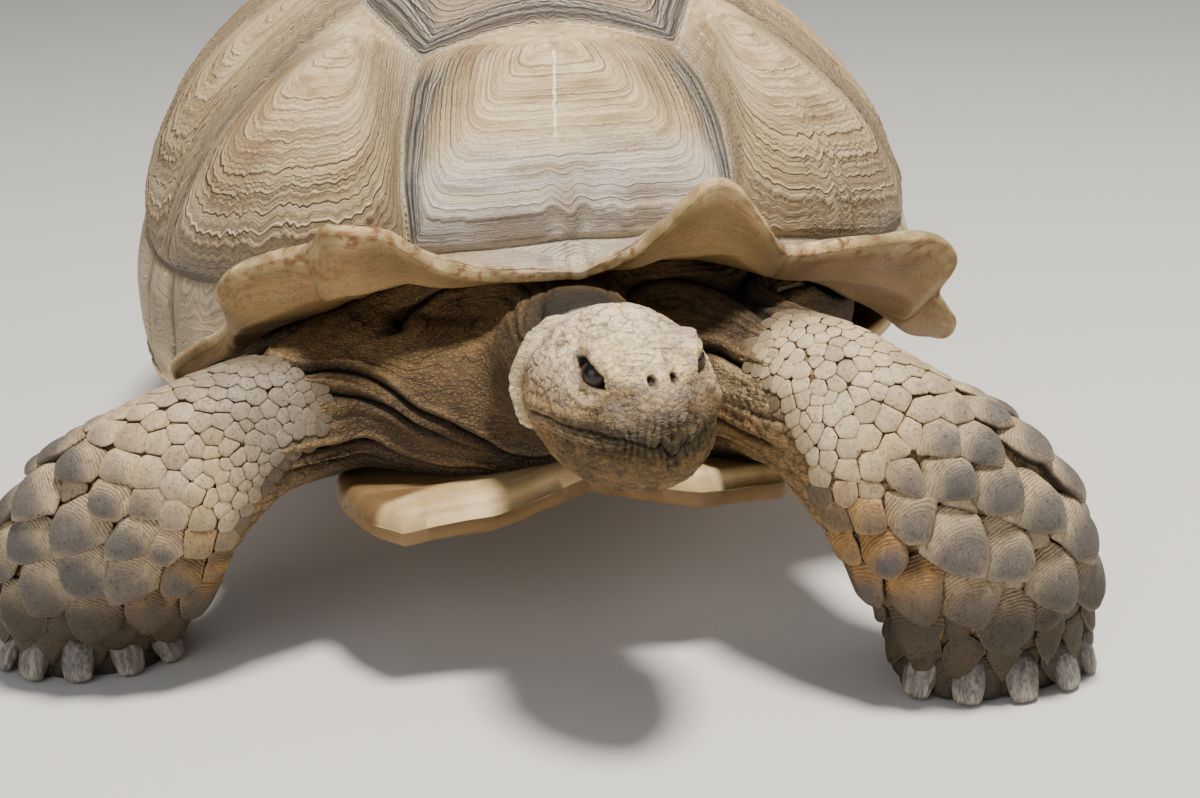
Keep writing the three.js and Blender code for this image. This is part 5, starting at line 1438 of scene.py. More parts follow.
def sculpt_body(p):
    """For the skin away from the head: its relief in millimetres, its colour, where it is off the head and on
    the legs, and the fields of its folds."""
    q = in_head(p)
    off_head = 1 - ease(-6, 12, q[:, 1]) * about_head(p)
    place, angle, near = (np.full(len(p), v) for v in (-1.0, 0.0, 0.0))
    for side, limb in FORELIMBS.items():
        beside = (p[:, 0] * side > 60) & (p[:, 1] < -150)
        place[beside], turned, ratio, _ = limb.around(p[beside])
        angle[beside], near[beside] = turned * side, ease(1.3, 1.1, ratio)
    mid, fine = rough(p, 26, 3, 82), rough(p, 7, 2, 83)
    fore = near * ease(1.2, 2.0, place)
    legs = np.clip(fore + (p[:, 1] > 120), 0, 1)
    front = ease(-222, -250, p[:, 1]) * off_head * (1 - ease(1.7, 2.3, place) * near)
    inner = fore * ease(0.15, 0.6, -np.cos(angle)) * ease(2.3, 3.0, place)
    creases = legs * grooves((p[:, 2] + 7 * mid + 3 * fine) / 9.5) * ease(-0.1, 0.5, noise(p, 30, 89))
    near1, near2, _ = cells(p, 8.5, 90)
    tile_gap = near2 - near1
    folds = chest_folds(p, front)
    relief = 2.4 * folds.roll - 4.6 * folds.deep - 1.7 * folds.minor - 0.6 * folds.thin - 1.0 * creases
    relief = relief + 0.55 * (legs * ease(0.1, 1.6, tile_gap) - legs) + off_head * (0.9 * mid + 0.3 * fine)
    areas = SimpleNamespace(front=front, fore=fore, legs=legs, inner=inner, mid=mid, creases=creases,
                            tile_gap=tile_gap)
    fields = {"fold": np.clip(folds.gap, -9, 9), "cut": folds.cut, "many": folds.many,
              "loose": front * (1 - 0.8 * folds.cut)}
    return relief, body_paint(p, q, areas, folds), off_head, legs, fields


def head_plates(h):
    """Plates, larger on the crown and smaller on the cheeks, beads round the eyes and snout, and creases."""
    q = h.q
    warp = q + 2.4 * np.stack([noise(q, 13, 95 + k) for k in range(3)], -1)
    top = ease(20, 30, h.up) * ease(84, 66, h.out)
    big1, big2, big_id = cells(warp, 11, 96, 0.95)
    small1, small2, small_id = cells(warp, 5.6, 97, 0.95)
    bead1, bead2, _ = cells(warp, 2.9, 94, 0.95)
    patches = ease(0.05, -0.35, noise(q, 22, 93) - 0.4 * ease(30, 20, h.a))
    h.beads = ease(56, 66, h.out) * ease(2, 12, h.up) * patches
    h.bead_gap = bead2 - bead1
    line = lerp(ease(1.0, 0.1, small2 - small1), ease(1.3, 0.1, big2 - big1), top) * 0.8
    h.line = h.on * line * (1 - 0.7 * h.beads)
    creased = grooves((h.up + 0.35 * h.a + 5 * noise(q, 16, 92)) / 4.6, 2) * ease(-0.2, 0.4, noise(q, 14, 90))
    h.creased = h.on * creased * (1 - 0.5 * h.beads)
    return [
        -0.8 * h.line + h.on * 0.6 * lerp(small_id - 0.5, (big_id - 0.5) * 0.8, top),
        h.on * h.beads * (0.55 * ease(0, 1.2, h.bead_gap) - 0.3),
        -0.6 * h.creased,
    ]


def head_forms(h):
    """Brow, cheek, the snout between its hollows and the hollow behind the eye."""
    out, up, a = h.out, h.up, h.a
    h.hollow = bump(out, 93, 15) * bump(up, 17, 14) * bump(a, 18, 9)
    return [
        h.on * 3.0 * bump(out, 66, 24) * bump(up - 0.32 * (66 - out), 37, 8) * bump(a, 25, 12),
        h.on * 2.5 * bump(out, 34, 24) * bump(up, -2, 20) * ease(20, 40, a),
        h.on * 2.2 * ease(80, 94, out) * bump(up, 22, 15) * bump(a, 0, 13),
        h.on * -3.2 * h.hollow,
        h.on * -1.4 * bump(out, 50, 11) * bump(up, 12, 14) * ease(25, 42, a),
    ]


def head_mouth(h):
    """The line of the mouth, the lower jaw a little under the upper, and the horny beak with its ridges."""
    q, out, up, a = h.q, h.out, h.up, h.a
    mouth = through(MOUTH[:, 0], MOUTH[:, 1])(out)
    hook = 6 * bump(a, 0, 8) * ease(96, 106, out)
    cusp = 2.4 * bump(a, 11, 5) * ease(84, 96, out)
    under = up - (mouth - hook - cusp + 1.3 * noise(q, 10, 98) + 0.5 * noise(q, 3, 91))
    jaw = ease(24, 36, out)
    h.under, h.jaw = under, jaw
    h.lip = jaw * bump(under, -5, 4) * ease(20, 30, a)
    h.beak = ease(80, 94, out) * ease(-13, -6, under) * ease(19, 10, up + 0.3 * a)
    around = np.arctan2(h.across, np.maximum(out - 70, 8))
    h.ridges = grooves(around * 8 + 0.9 * noise(q, 14, 99), 1.5)
    return [
        jaw * -3.0 * np.exp(-((under / 1.2) ** 2)),
        jaw * -2.2 * ease(0, -3, under) * ease(-26, -4, under),
        jaw * 1.6 * bump(under, 5, 5.5),
        1.1 * h.lip,
        1.4 * jaw * bump(under, -15, 10) * ease(50, 90, out),
        h.beak * -1.4 * h.ridges,
        ease(98, 108, out) * -1.2 * bump(up, 15, 5) * bump(a, 0, 12),
    ]


def head_nostrils(h):
    n = h.mirrored - NOSTRIL
    far = np.hypot(n[:, 0], n[:, 2])
    ahead = h.out > 80
    h.nose = ahead * ease(3.0, 1.3, far)
    h.move += h.nose[:, None] * np.array([0.0, -4.2, -0.6])
    return [ahead * 0.7 * bump(far, 3.6, 1.8)]


def head_eyes(h):
    """The skin sinks inside the almond of the eye and folds into a lid along its edge."""
    outward = unit([0.83, 0.45, 0.32])
    tilt = math.radians(EYE_TILT)
    along = np.array([0, math.cos(tilt), math.sin(tilt)])
    along = unit(along - along @ outward * outward)
    above = np.cross(outward, along)
    above = above * np.sign(above[2])
    d = h.mirrored - EYE
    x, y, z = d @ along, d @ above, d @ outward
    near = (z > -6) & (z < 16) & (np.hypot(x, y) < 26)
    bow = LID_HALF[1] * np.maximum(0.15, 1 - (x / 12.5) ** 2) ** 0.75
    almond = np.sqrt((np.abs(y) / bow * 0.95) ** 2 + (x / LID_HALF[0]) ** 6)
    almond = np.where(near, almond, 9)
    radial = np.hypot(x / 15.5, y / 11.5)
    ball = np.sqrt(np.maximum(EYE_RADIUS**2 - x**2 - y**2, 22))
    inside = ease(1.12, 0.92, almond)
    lid = ease(0.9, 1.08, almond) * np.where(near, ease(1.25, 0.85, radial), 0)
    target = lerp(ball + 1.1, ball - 2.6, inside)
    weight = np.clip(np.maximum(inside, lid), 0, 1) * near
    h.move += (weight * (target - z))[:, None] * xyz(np.where(h.across < 0, -1, 1) * outward[0], *outward[1:])
    crease = near * (bump(radial, 1.1, 0.12) * 0.7 + bump(radial, 1.42, 0.1) * 0.35) * ease(5, -3, y)
    crease = crease * (0.6 + 0.5 * noise(h.q, 5, 84))
    h.in_eye = inside
    h.eye_rim = near * ease(1.55, 1.05, almond) * ease(0.85, 1.0, almond)
    h.eye_crease = near * crease
    return [
        -crease,
        near * bump(radial, 1.25, 0.16) * 0.35 * ease(5, -3, y),
        near * 1.8 * bump(y, 7.5, 4.5) * bump(x, 1, 15),
    ]


def head_frill(h):
    """The fold of skin that stands up behind the jaw."""
    q, up, sides = h.q, h.up, ease(14, 28, h.a)
    behind = h.out - 4 * ease(20, -25, up) - 1.6 * noise(q, 9, 89)
    h.frill = bump(behind, 3, 6) * ease(-30, -18, up) * sides * np.where(h.across > 0, ease(16, 4, up), 1)
    fold1, fold2, _ = cells(q * [0.5, 1, 0.7] + 1.5 * rough(q, 6, 2, 86)[:, None], 3.0, 100, 0.95)
    h.fold_gap = fold2 - fold1
    h.behind_frill = bump(behind, 11.5, 4) * sides
    return [
        h.frill * (5.4 + 0.7 * ease(0, 1.4, h.fold_gap) + 0.8 * noise(q, 5, 85)),
        -1.5 * h.behind_frill,
    ]


def head_paint(h):
    q, out, up, a, on, under = h.q, h.out, h.up, h.a, h.on, h.under
    shade, spots = rough(q, 24, 3, 103), rough(q, 6, 3, 104)
    # Painted shade: the cheeks and the throat under the mouth are painted darker, as the lower head lies in
    # shade below its top; beneath the shade they are the skin's own brown.
    cheek = ease(24, 2, up) * ease(14, 30, a)
    mouth_area = np.maximum(ease(74, 92, out) * ease(19, 6, up), ease(40, 70, out) * ease(9, 3, under))
    low = ease(-1, -8, under)
    muzzle = ease(72, 88, out) * ease(28.5, 19, up + 4 * rough(q, 8, 2, 85) - 0.14 * a)
    return paints(
        HEAD_GREY,
        (ease(8, 26, up) * (0.85 + 0.4 * shade), HEAD_PALE),
        (ease(60, 80, out) * ease(16, 28, up) * 0.5, (0.84, 0.72, 0.5)),
        (ease(2, 22, up) * ease(46, 70, out) * ease(-0.2, 0.4, noise(q, 12, 88)) * 0.6, HEAD_YELLOW),
        (cheek * (0.75 + 0.4 * shade), (0.2, 0.135, 0.065)),
        (cheek * ease(0.0, 0.4, spots) * 0.35, (0.38, 0.3, 0.13)),
        (muzzle * (0.95 + 0.3 * shade), (0.066, 0.045, 0.021)),
        (muzzle * ease(0.1, 0.5, spots) * 0.5, (0.2, 0.155, 0.085)),
        (ease(0.0, 0.5, spots) * 0.45, (0.28, 0.19, 0.105)),
        (ease(0.0, 0.35, rough(q, 13, 3, 87)) * 0.6 * on, (0.3, 0.25, 0.215)),
        (ease(0.1, 0.5, rough(q, 9, 3, 86)) * ease(10, 24, up) * 0.5 * on, (0.62, 0.44, 0.2)),
        (h.line * 0.8, HEAD_BROWN),
        (h.creased * 0.7, HEAD_BROWN),
        (on * h.beads * ease(0.9, 0.1, h.bead_gap) * 0.4, HEAD_BROWN),
        (h.hollow * on * 0.7, (0.2, 0.14, 0.085)),
        (low * 0.92, SHADED_THROAT),
        (low * ease(0.0, 0.5, shade) * 0.5, (0.3, 0.18, 0.07)),
        (low * ease(0.0, 0.45, spots) * 0.4, (0.09, 0.055, 0.024)),
        (np.clip(mouth_area, 0, 1) * (0.65 + 0.5 * spots), OLIVE),
        (h.lip * ease(0.0, 0.6, np.sin(under * 2.4 + spots)) * 0.7, (0.34, 0.27, 0.15)),
        (h.beak * (0.35 + 0.65 * h.ridges), (0.032, 0.024, 0.012)),
        (h.beak * ease(0.2, 0.6, spots) * 0.4, (0.13, 0.1, 0.048)),
        (h.jaw * np.exp(-((under / 1.5) ** 2)) * 0.9, (0.022, 0.014, 0.008)),
        (h.nose * 0.95, (0.01, 0.006, 0.004)),
        (h.eye_rim * 0.75, (0.12, 0.065, 0.035)),
        (h.eye_crease * 0.6, (0.13, 0.08, 0.045)),
        (h.in_eye * 0.98, (0.008, 0.006, 0.005)),
        (h.frill * 0.95, FOLD_CREAM),
        (h.frill * ease(1.2, 0.1, h.fold_gap) * 0.55, (0.3, 0.22, 0.11)),
        (h.behind_frill * 0.75, (0.07, 0.05, 0.035)),
    )


def head_field(q):
    """The relief, the movement and the colour of the head's skin at points given as (across, out, up)."""
    across, out, up = q.T
    a, on = np.abs(across), ease(2, 18, out)
    h = SimpleNamespace(q=q, across=across, out=out, up=up, a=a, on=on, mirrored=xyz(a, out, up), move=0 * q)
    forms = head_plates, head_forms, head_mouth, head_nostrils, head_eyes, head_frill
    rise = sum(relief for form in forms for relief in form(h))
    rise = rise + on * (0.5 * rough(q, 9, 3, 101) + 0.3 * noise(q, 2.4, 102)) * (1 - 0.6 * h.beak)
    return rise, h.move, head_paint(h)


def skin_look():
    look = Look("tortoise_skin", Specular_IOR_Level=0.25)
    tint = look.paint("tint")
    grain_area, on_head, cut = look.value("grain"), look.value("head"), look.value("cut")
    light, deep = look.shades(tint, (2.2, 2.0, 1.75), (0.28, 0.26, 0.24))
    fine, uneven, flakes = look.noise(0.9, 3), look.noise(11, 3), look.noise(2.4, 5, roughness=0.8)
    wrinkle = look.noise(5, 4, look.place((0.5, 0.5, 2.2)))
    flat = look.place((0.8, 0.8, 1.1))
    pebble = look.span(look.cells(2.5, "DISTANCE_TO_EDGE", flat), 0.0, 0.3)
    bead = look.span(look.cells(2.5, at=flat), 0.42, 0.12)
    small = look.span(look.cells(1.7, "DISTANCE_TO_EDGE"), 0.0, 0.25)
    crack = look.span(look.cells(7, "DISTANCE_TO_EDGE", look.place((0.45, 0.45, 1.5))), 0.07, 0.0)
    crack = look.times(crack, look.span(look.noise(30, 2), 0.42, 0.6))

    # the deep folds of the chest and the thin ones between them, painted dark inside as shade, with a wider
    # painted shadow along the deep ones
    off_fold = look.heap(look.math("SUBTRACT", look.value("fold"), 1.5), (uneven, 3.0))
    off_fold = look.math("ABSOLUTE", off_fold)
    fold = look.times(look.span(off_fold, 1.0, 0.35), cut)
    thin = look.math("FRACT", look.heap(look.times(look.value("many"), 2.0), (uneven, 1.6)))
    thin = look.span(look.math("ABSOLUTE", look.math("SUBTRACT", thin, 0.5)), 0.09, 0.02)
    thin = look.times(thin, look.value("loose"), look.span(look.noise(26, 2), 0.4, 0.56))
    colour = look.cover(
        tint,
        (deep, look.math("SUBTRACT", 1.0, pebble), grain_area, 0.45),
        (light, bead, grain_area, 0.5),
        (light, look.span(wrinkle, 0.35, 0.7, 0.0, 0.4)),
        ((0.03, 0.02, 0.013), crack, look.span(grain_area, 0, 1, 0.2, 0.6)),
        # Painted shade: a soft shadow beside each deep fold, near black in the fold and dark in the thin
        # ones.
        ((0.03, 0.021, 0.013), look.span(off_fold, 3.2, 0.4), cut, 0.45),
        ((0.009, 0.007, 0.005), fold, 0.92),
        ((0.018, 0.013, 0.009), thin, 0.75),
        (deep, look.span(flakes, 0.5, 0.4), on_head, 0.55),
        (light, look.span(flakes, 0.56, 0.66), on_head, 0.5),
        (deep, look.span(fine, 0.35, 0.75, 0.0, 0.45)),
    )
    height = look.heap(
        0.1, (look.times(pebble, grain_area), 0.55), (small, 0.25), (crack, -0.5), (fold, -1.2), (thin, -0.7),
        (wrinkle, look.span(grain_area, 0, 1, 0.12, 0.45)), (fine, 0.16),
    )
    return look.finish(colour, look.span(on_head, 0, 1, 0.78, 0.6), height, 0.8)


def build_skin():
    mesh = skin_base()
    p, _ = arrays_of(mesh)
    relief, tint, off_head, legs, folds = sculpt_body(p)
    q = in_head(p)
    near_head = (q[:, 1] > -14) & (about_head(p) > 0)
    rise, move, head_tint = np.zeros(len(p)), np.zeros((len(p), 3)), np.zeros((len(p), 3))
    rise[near_head], move[near_head], head_tint[near_head] = head_field(q[near_head])
    moved = p + normals_of(mesh) * (relief * off_head + rise)[:, None] + (move * [1, -1, 1]) @ head_turn().T
    moved[:, 2] = np.maximum(moved[:, 2], 0)
    write_points(mesh, moved)
    share = np.where(near_head, ease(-6, 8, q[:, 1]), 0)
    grain = (1 - 0.85 * share) * (1 - 0.35 * legs)
    tint = lerp(tint, head_tint, share[:, None])
    write_fields(mesh, {"tint": tint, "grain": grain, "head": share, **folds})
    mesh.polygons.foreach_set("use_smooth", np.ones(len(mesh.polygons), bool))
    mesh.materials.clear()
    mesh.materials.append(skin_look())
    mesh.name = "skin"
    skin = shown_object("skin", mesh)
    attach(skin, "root")
    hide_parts("torso", "neck", "head", "lower_jaw", "tail")
    for side in ("left", "right"):
        for part in ("upper_arm", "forearm", "front_foot", "thigh", "shin", "hind_foot"):
            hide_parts(part + "_" + side)


# ---------------------------------------------------------------- scales of the legs
BIG_SCALE = 13  # the least width of a scale that overlaps the next
SCALE_STEPS = {"tile": 24, "scale": 44}  # points round one
SCALE_RINGS = {"tile": [0.0, 0.45, 0.75, 0.92, 1.0], "scale": [0.0, 0.25, 0.48, 0.67, 0.82, 0.92, 0.975, 1.0]}
TUCKED_RINGS = [0.965, 0.85]  # the rings underneath, which close a scale below
SCALE_SUNK = 3.5
SCALE_FOOT = 0.42  # how far above a limb's last station the scales stop
TILE_GAP = 0.12  # half the groove between two small tiles


def sow(limb, sign, places, arc, size, spread_of, seed, first=()):
    """Places, angles and widths for scales that fill a patch of a limb round the first ones, their width
    given by size(place, degrees) and its variety by spread_of(place)."""
    draw = np.random.default_rng(seed)
    tries = 26000
    place = draw.uniform(*places, tries)
    degrees = draw.uniform(*arc, tries)
    kind = draw.choice([-0.9, -0.35, 0.2, 0.5], tries, p=[0.25, 0.2, 0.25, 0.3])
    wanted = size(place, degrees) * (1 + kind * spread_of(place))
    at = limb.point(place, sign * np.radians(degrees))
    order = np.argsort(-wanted * draw.uniform(0.72, 1.28, tries))
    first = np.array(first, float).reshape(-1, 3).T
    kept = []
    spots, widths = limb.point(first[0], sign * np.radians(first[1])), first[2]
    for k in order:
        far = np.linalg.norm(spots - at[k], axis=1)
        if np.all(far > 0.5 * (widths + wanted[k])):
            kept.append(k)
            spots, widths = np.concatenate([spots, at[k : k + 1]]), np.append(widths, wanted[k])
    return [np.concatenate([f, v[kept]]) for f, v in zip(first, (place, degrees, wanted))]


def way_down(limb, place, angle):
    """The way down a limb's surface."""
    return unit(limb.point(place + 0.02, angle) - limb.point(place - 0.02, angle))


def limb_grid(limb, place, angle):
    """Points and outward normals of a limb's surface, and its millimetres along and round for a unit step."""
    e = 0.01
    at = limb.point(place, angle)
    along = (limb.point(place + e, angle) - limb.point(place - e, angle)) / (2 * e)
    round_way = (limb.point(place, angle + e) - limb.point(place, angle - e)) / (2 * e)
    normal = unit(np.cross(round_way, along))
    out = at - limb.axis(place)
    normal = normal * np.sign((normal * out).sum(-1, keepdims=True))
    return at, normal, np.linalg.norm(along, axis=-1), np.linalg.norm(round_way, axis=-1)


def scale_shapes(limb, sign, place, degrees, wanted, chosen, steps):
    """For each chosen scale how far it reaches each way round, shared out with its neighbours."""
    angle = sign * np.radians(degrees)
    at, normal, _, _ = limb_grid(limb, place, angle)
    along = way_down(limb, place, angle)
    across = unit(np.cross(along, normal))
    ways = np.linspace(0, 2 * np.pi, steps, endpoint=False)
    reach = np.zeros((len(chosen), steps))
    for row, i in enumerate(chosen):
        off = at - at[i]
        far = np.linalg.norm(off, axis=1)
        near = np.where((far < 2.4 * wanted[i] + 14) & (far > 0.1) & ((normal * normal[i]).sum(1) > 0.1))[0]
        u, v = off[near] @ across[i], off[near] @ along[i]
        d = np.hypot(u, v)
        share = wanted[i] / (wanted[i] + wanted[near])
        lean = np.cos(ways[:, None] - np.arctan2(u, v)[None, :])
        hit = np.where(lean > 0.05, (d * share)[None, :] / np.maximum(lean, 0.05), 99)
        hit = np.concatenate([hit, np.full((steps, 1), 0.88 * wanted[i])], 1)
        reach[row] = (hit**-34.0).sum(1) ** (-1 / 34.0)
    return ways, reach


def pointed(reach, ways, overlap, point):
    """The reach with its free half drawn out over the next scale, the more pointed the more point is."""
    steps = len(ways)
    toward = np.clip(np.cos(ways), 0, 1)[None, :]
    aside = np.abs(np.sin(ways))[None, :]
    drawn = reach * (1 + overlap * toward**1.5)
    length = drawn[:, :1] * (1 + 0.12 * point)
    width = 0.5 * (reach[:, steps // 4] + reach[:, -(steps // 4)])[:, None]
    kite = ((toward / length) ** 1.25 + (aside / width) ** 1.25) ** (-1 / 1.25)
    return lerp(drawn, kite, np.clip(point, 0, 1) * ease(0.0, 0.4, toward))


def scale_mesh(limb, sign, scales, form, seed, kind, chosen):
    """The rows of points of the chosen scales of one limb, and each scale's reach. form gives for every scale
    overlap, how far it lies over the next, lift, how high its free end stands, point, how pointed that end
    is, and shown, less than 1 for tiles that sink into the skin."""
    every_turn = np.random.default_rng(seed).uniform(-9, 9, len(scales[0]))
    ways, reach = scale_shapes(limb, sign, *scales, chosen, SCALE_STEPS[kind])
    place, degrees, wanted = (v[chosen] for v in scales)
    overlap, lift, point, shown = (v[chosen] for v in form)
    big = ease(10, 19, wanted)[:, None]
    turned = np.radians(every_turn[chosen])[:, None] * big
    reach = pointed(reach - TILE_GAP * (1 - big), ways, overlap[:, None], point[:, None])
    u, v = np.sin(ways)[None, :] + 0 * reach, np.cos(ways)[None, :] + 0 * reach
    u, v = u * np.cos(turned) + v * np.sin(turned), v * np.cos(turned) - u * np.sin(turned)
    long = reach.max(1, keepdims=True)
    _, _, speed, spin = limb_grid(limb, place, sign * np.radians(degrees))
    hand = limb_hand(limb, sign)
    place, degrees, wanted, lift, shown = (f[:, None] for f in (place, degrees, wanted, lift, shown))
    rows = []
    tops = len(SCALE_RINGS[kind])
    for r, share in enumerate([*SCALE_RINGS[kind], *TUCKED_RINGS]):
        du, dv = reach * u * share, reach * v * share
        where = np.clip(place + dv / speed[:, None], 0, limb.last - SCALE_FOOT)
        round_at = sign * np.radians(degrees) + hand * du / spin[:, None]
        base, normal, _, _ = limb_grid(limb, where, round_at)
        slope = lift * ease(-0.9, 0.95, dv / long)
        crown = wanted * lerp(0.06 * (1 - share**7), 0.1 * (1 - share**3), big)
        keel = 0.05 * wanted * big * np.exp(-((du / (0.3 * wanted)) ** 2)) * ease(-0.5, 0.6, dv / long)
        height = slope * (1 - 0.16 * share**8) + crown + keel * (1 - share**5) + 0.35
        if r == tops:
            height = np.minimum(slope * 0.55 - 0.6, height - 1.2)
        elif r > tops:
            height = -SCALE_SUNK + 0 * slope
        height = height * lerp(0.4, 1, shown) - 0.75 * (1 - shown)
        rows.append(base + normal * height[..., None])
    return np.array(rows), reach * u, reach * v, long


def limb_hand(limb, sign):
    """Which way round a limb its scales' own across goes."""
    place, angle = np.array([3.0]), np.array([sign * math.radians(90)])
    at, normal, _, _ = limb_grid(limb, place, angle)
    across = np.cross(way_down(limb, place, angle), normal)
    step = limb.point(place, angle + sign * 0.02) - at
    return sign if (across * step).sum() > 0 else -sign


def build_scales(name, limb, sign, scales, form, seed, material):
    """The small tiles and the overlapping scales of one limb, as two pieces."""
    for kind in ("tile", "scale"):
        chosen = np.where((scales[2] < BIG_SCALE) == (kind == "tile"))[0]
        build_kind(name + "_" + kind + "s", limb, sign, scales, form, seed, kind, chosen, material)


def build_kind(name, limb, sign, scales, form, seed, kind, chosen, material):
    rows, du, dv, long = scale_mesh(limb, sign, scales, form, seed, kind, chosen)
    place, degrees, wanted = (f[chosen] for f in scales)
    layers, n, k = rows.shape[:3]
    flat = rows.transpose(1, 0, 2, 3).reshape(n, layers * k, 3)  # scale, ring and way, xyz
    flat = np.concatenate([flat, flat[:, -k:].mean(1, keepdims=True)], 1)
    per = layers * k + 1
    ring = grid_faces(layers, k, closed=True)
    cap = fan((layers - 1) * k + np.arange(k), per - 1)[:, [1, 0, 2]]
    start = np.arange(n)[:, None, None] * per
    faces = [(ring + start).reshape(-1, 4), (cap + start).reshape(-1, 3)]
    made = flat.reshape(-1, 3)
    if scale_sign(made, faces[0][: len(ring)]) < 0:
        faces = [f[:, ::-1] for f in faces]
    made[:, 2] = np.maximum(made[:, 2], 0.4)
    shown = form[3][chosen]
    f = scale_fields(du, dv, long, place, degrees, wanted, shown, kind, seed + 1)
    # Painted shadow of the shell over the upper scales of the right forelimb.
    shell_shadow = ease(2.75, 2.0, np.repeat(place, per)) * (name.startswith("fore") and sign < 0)
    lines = (1 - 0.8 * f.worn) * lerp(0.12, 1.0, f.big) * (0.5 + 0.5 * f.root)
    tint = scale_paint(made, f, shell_shadow)
    piece = mesh_object(name, made, faces, material, tint=tint, ring=f.phase, lines=lines)
    unwrap(piece, np.repeat(place, per) / limb.last, np.repeat(degrees, per) / 400 + 0.4, flat, per)
    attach(piece, "root")


def scale_fields(du, dv, long, place, degrees, wanted, shown, kind, seed):
    """For every point of the scales: the phase of its rings, how worn it is, whether it is underneath, how
    near the edge and the root it lies, and what it shares with the rest of its scale."""
    draw = np.random.default_rng(seed)
    n = len(place)
    share = np.array([*SCALE_RINGS[kind], *TUCKED_RINGS])[None, :, None]
    under = np.array([0.0] * len(SCALE_RINGS[kind]) + [0.85, 1.0])[None, :, None]
    du, dv = du[:, None, :] * share, dv[:, None, :] * share
    long, width = long[:, :, None], wanted[:, None, None]
    tip = np.hypot(dv - 0.4 * long, du * 0.85)
    phase = tip / 1.7 + draw.uniform(0, 9, n)[:, None, None]
    big = ease(12, 19, width)
    fields = {
        "phase": phase,
        "worn": ease(0.8, 0.12, tip / long) * (0.25 + 0.75 * big) * ease(7, 12, width),
        "inward": (ease(92, 128, degrees) * ease(2.7, 3.3, place))[:, None, None],
        "own": draw.uniform(-1, 1, n)[:, None, None],
        "grubby": draw.uniform(0, 1, n)[:, None, None],
        "under": under,
        "edge": ease(0.88, 1.0, share),
        "root": ease(0.3, -0.75, dv / long),
        "big": big,
        "sunk": 1 - shown[:, None, None],
    }

    def per_point(field):
        field = np.broadcast_to(field, tip.shape).reshape(n, -1)
        return np.concatenate([field, field[:, -1:]], 1).ravel()

    return SimpleNamespace(**{name: per_point(field) for name, field in fields.items()})


def scale_paint(points, f, shell_shadow):
    """Tan, dark at a worn tip and orange inside the leg, with painted shade near the floor, under each scale
    and along the big scales' free edges. The last argument lays the shell's painted shadow, grey, over a part
    of a limb.
    """
    broad, spots = rough(points, 30, 3, 110), rough(points, 14, 3, 112)
    top = 1 - f.under
    foot = ease(86, 42, points[:, 2]) * top
    shadow_greys = lerp(np.array((0.1, 0.088, 0.078)), np.array((0.17, 0.15, 0.13)), 0.5 + 0.5 * f.own[:, None])
    return paints(
        (0.54, 0.41, 0.25),
        (0.5 + 0.5 * f.own, (0.42, 0.315, 0.19)),
        (ease(0.0, 0.6, broad) * 0.6, (0.68, 0.55, 0.37)),
        (ease(0.0, 0.5, spots) * (1 - f.big) * 0.5, (0.66, 0.5, 0.24)),
        (ease(0.6, 1.0, f.grubby) * 0.5, (0.26, 0.19, 0.115)),
        (f.root * f.big * 0.5, (0.54, 0.4, 0.24)),
        (f.inward * 0.94, (0.33, 0.165, 0.033)),
        (f.inward * ease(-0.1, 0.35, spots) * 0.8, (0.085, 0.054, 0.026)),
        (np.clip(f.worn * 1.15, 0, 1) * (0.94 - 0.5 * f.inward), (0.118, 0.103, 0.09)),
        (f.worn**2 * (0.5 + 0.5 * f.own), (0.08, 0.072, 0.067)),
        (f.edge * top * (1 - f.worn) * 0.4, (0.5, 0.385, 0.23)),
        # Painted shadow along the big scales' free edges.
        (ease(0.6, 1.0, f.edge) * f.big * top * 0.5, (0.09, 0.068, 0.05)),
        # Painted shadow of the shell, grey over the upper scales.
        (shell_shadow * top * 0.7, shadow_greys),
        (f.sunk * 0.85, (0.1, 0.073, 0.045)),
        # Painted shade over the scales near the floor, their free edges left a little lighter.
        (foot * 0.92, (0.04, 0.028, 0.015)),
        (foot * ease(0.5, 1.0, f.edge) * 0.5, (0.2, 0.165, 0.12)),
        # Painted shade: the tucked rings under each scale are painted near black.
        (f.under * 0.97, (0.03, 0.02, 0.012)),
    )


def scale_sign(points, quads):
    """Above 0 where the faces of a scale look outwards."""
    a, b, c = points[quads[:, 0]], points[quads[:, 1]], points[quads[:, 2]]
    middle = points[quads].mean((0, 1))
    return (((a + b + c) / 3 - middle) * np.cross(b - a, c - a)).sum()


def unwrap(made, root_u, root_v, flat, per):
    """The map for baking: each scale is a small patch at its root's place on the limb's own unwrap."""
    local = flat - flat.mean(1, keepdims=True)
    size = np.abs(local).max(axis=(1, 2), keepdims=True)
    a = unit(local[:, 0] - local[:, per // 2])[:, None, :]
    spread_u = (local * a).sum(-1) / size[..., 0]
    spread_v = (local * np.roll(a, 1, -1)).sum(-1) / size[..., 0]
    uv = np.stack([root_u + 0.0015 * spread_u.ravel(), root_v + 0.0015 * spread_v.ravel()], -1)
    layer = made.data.uv_layers.new(name="OFBake")
    corner = np.zeros(len(made.data.loops), np.int32)
    made.data.loops.foreach_get("vertex_index", corner)
    layer.data.foreach_set("uv", np.clip(uv[corner], 0, 1).astype(np.float32).ravel())


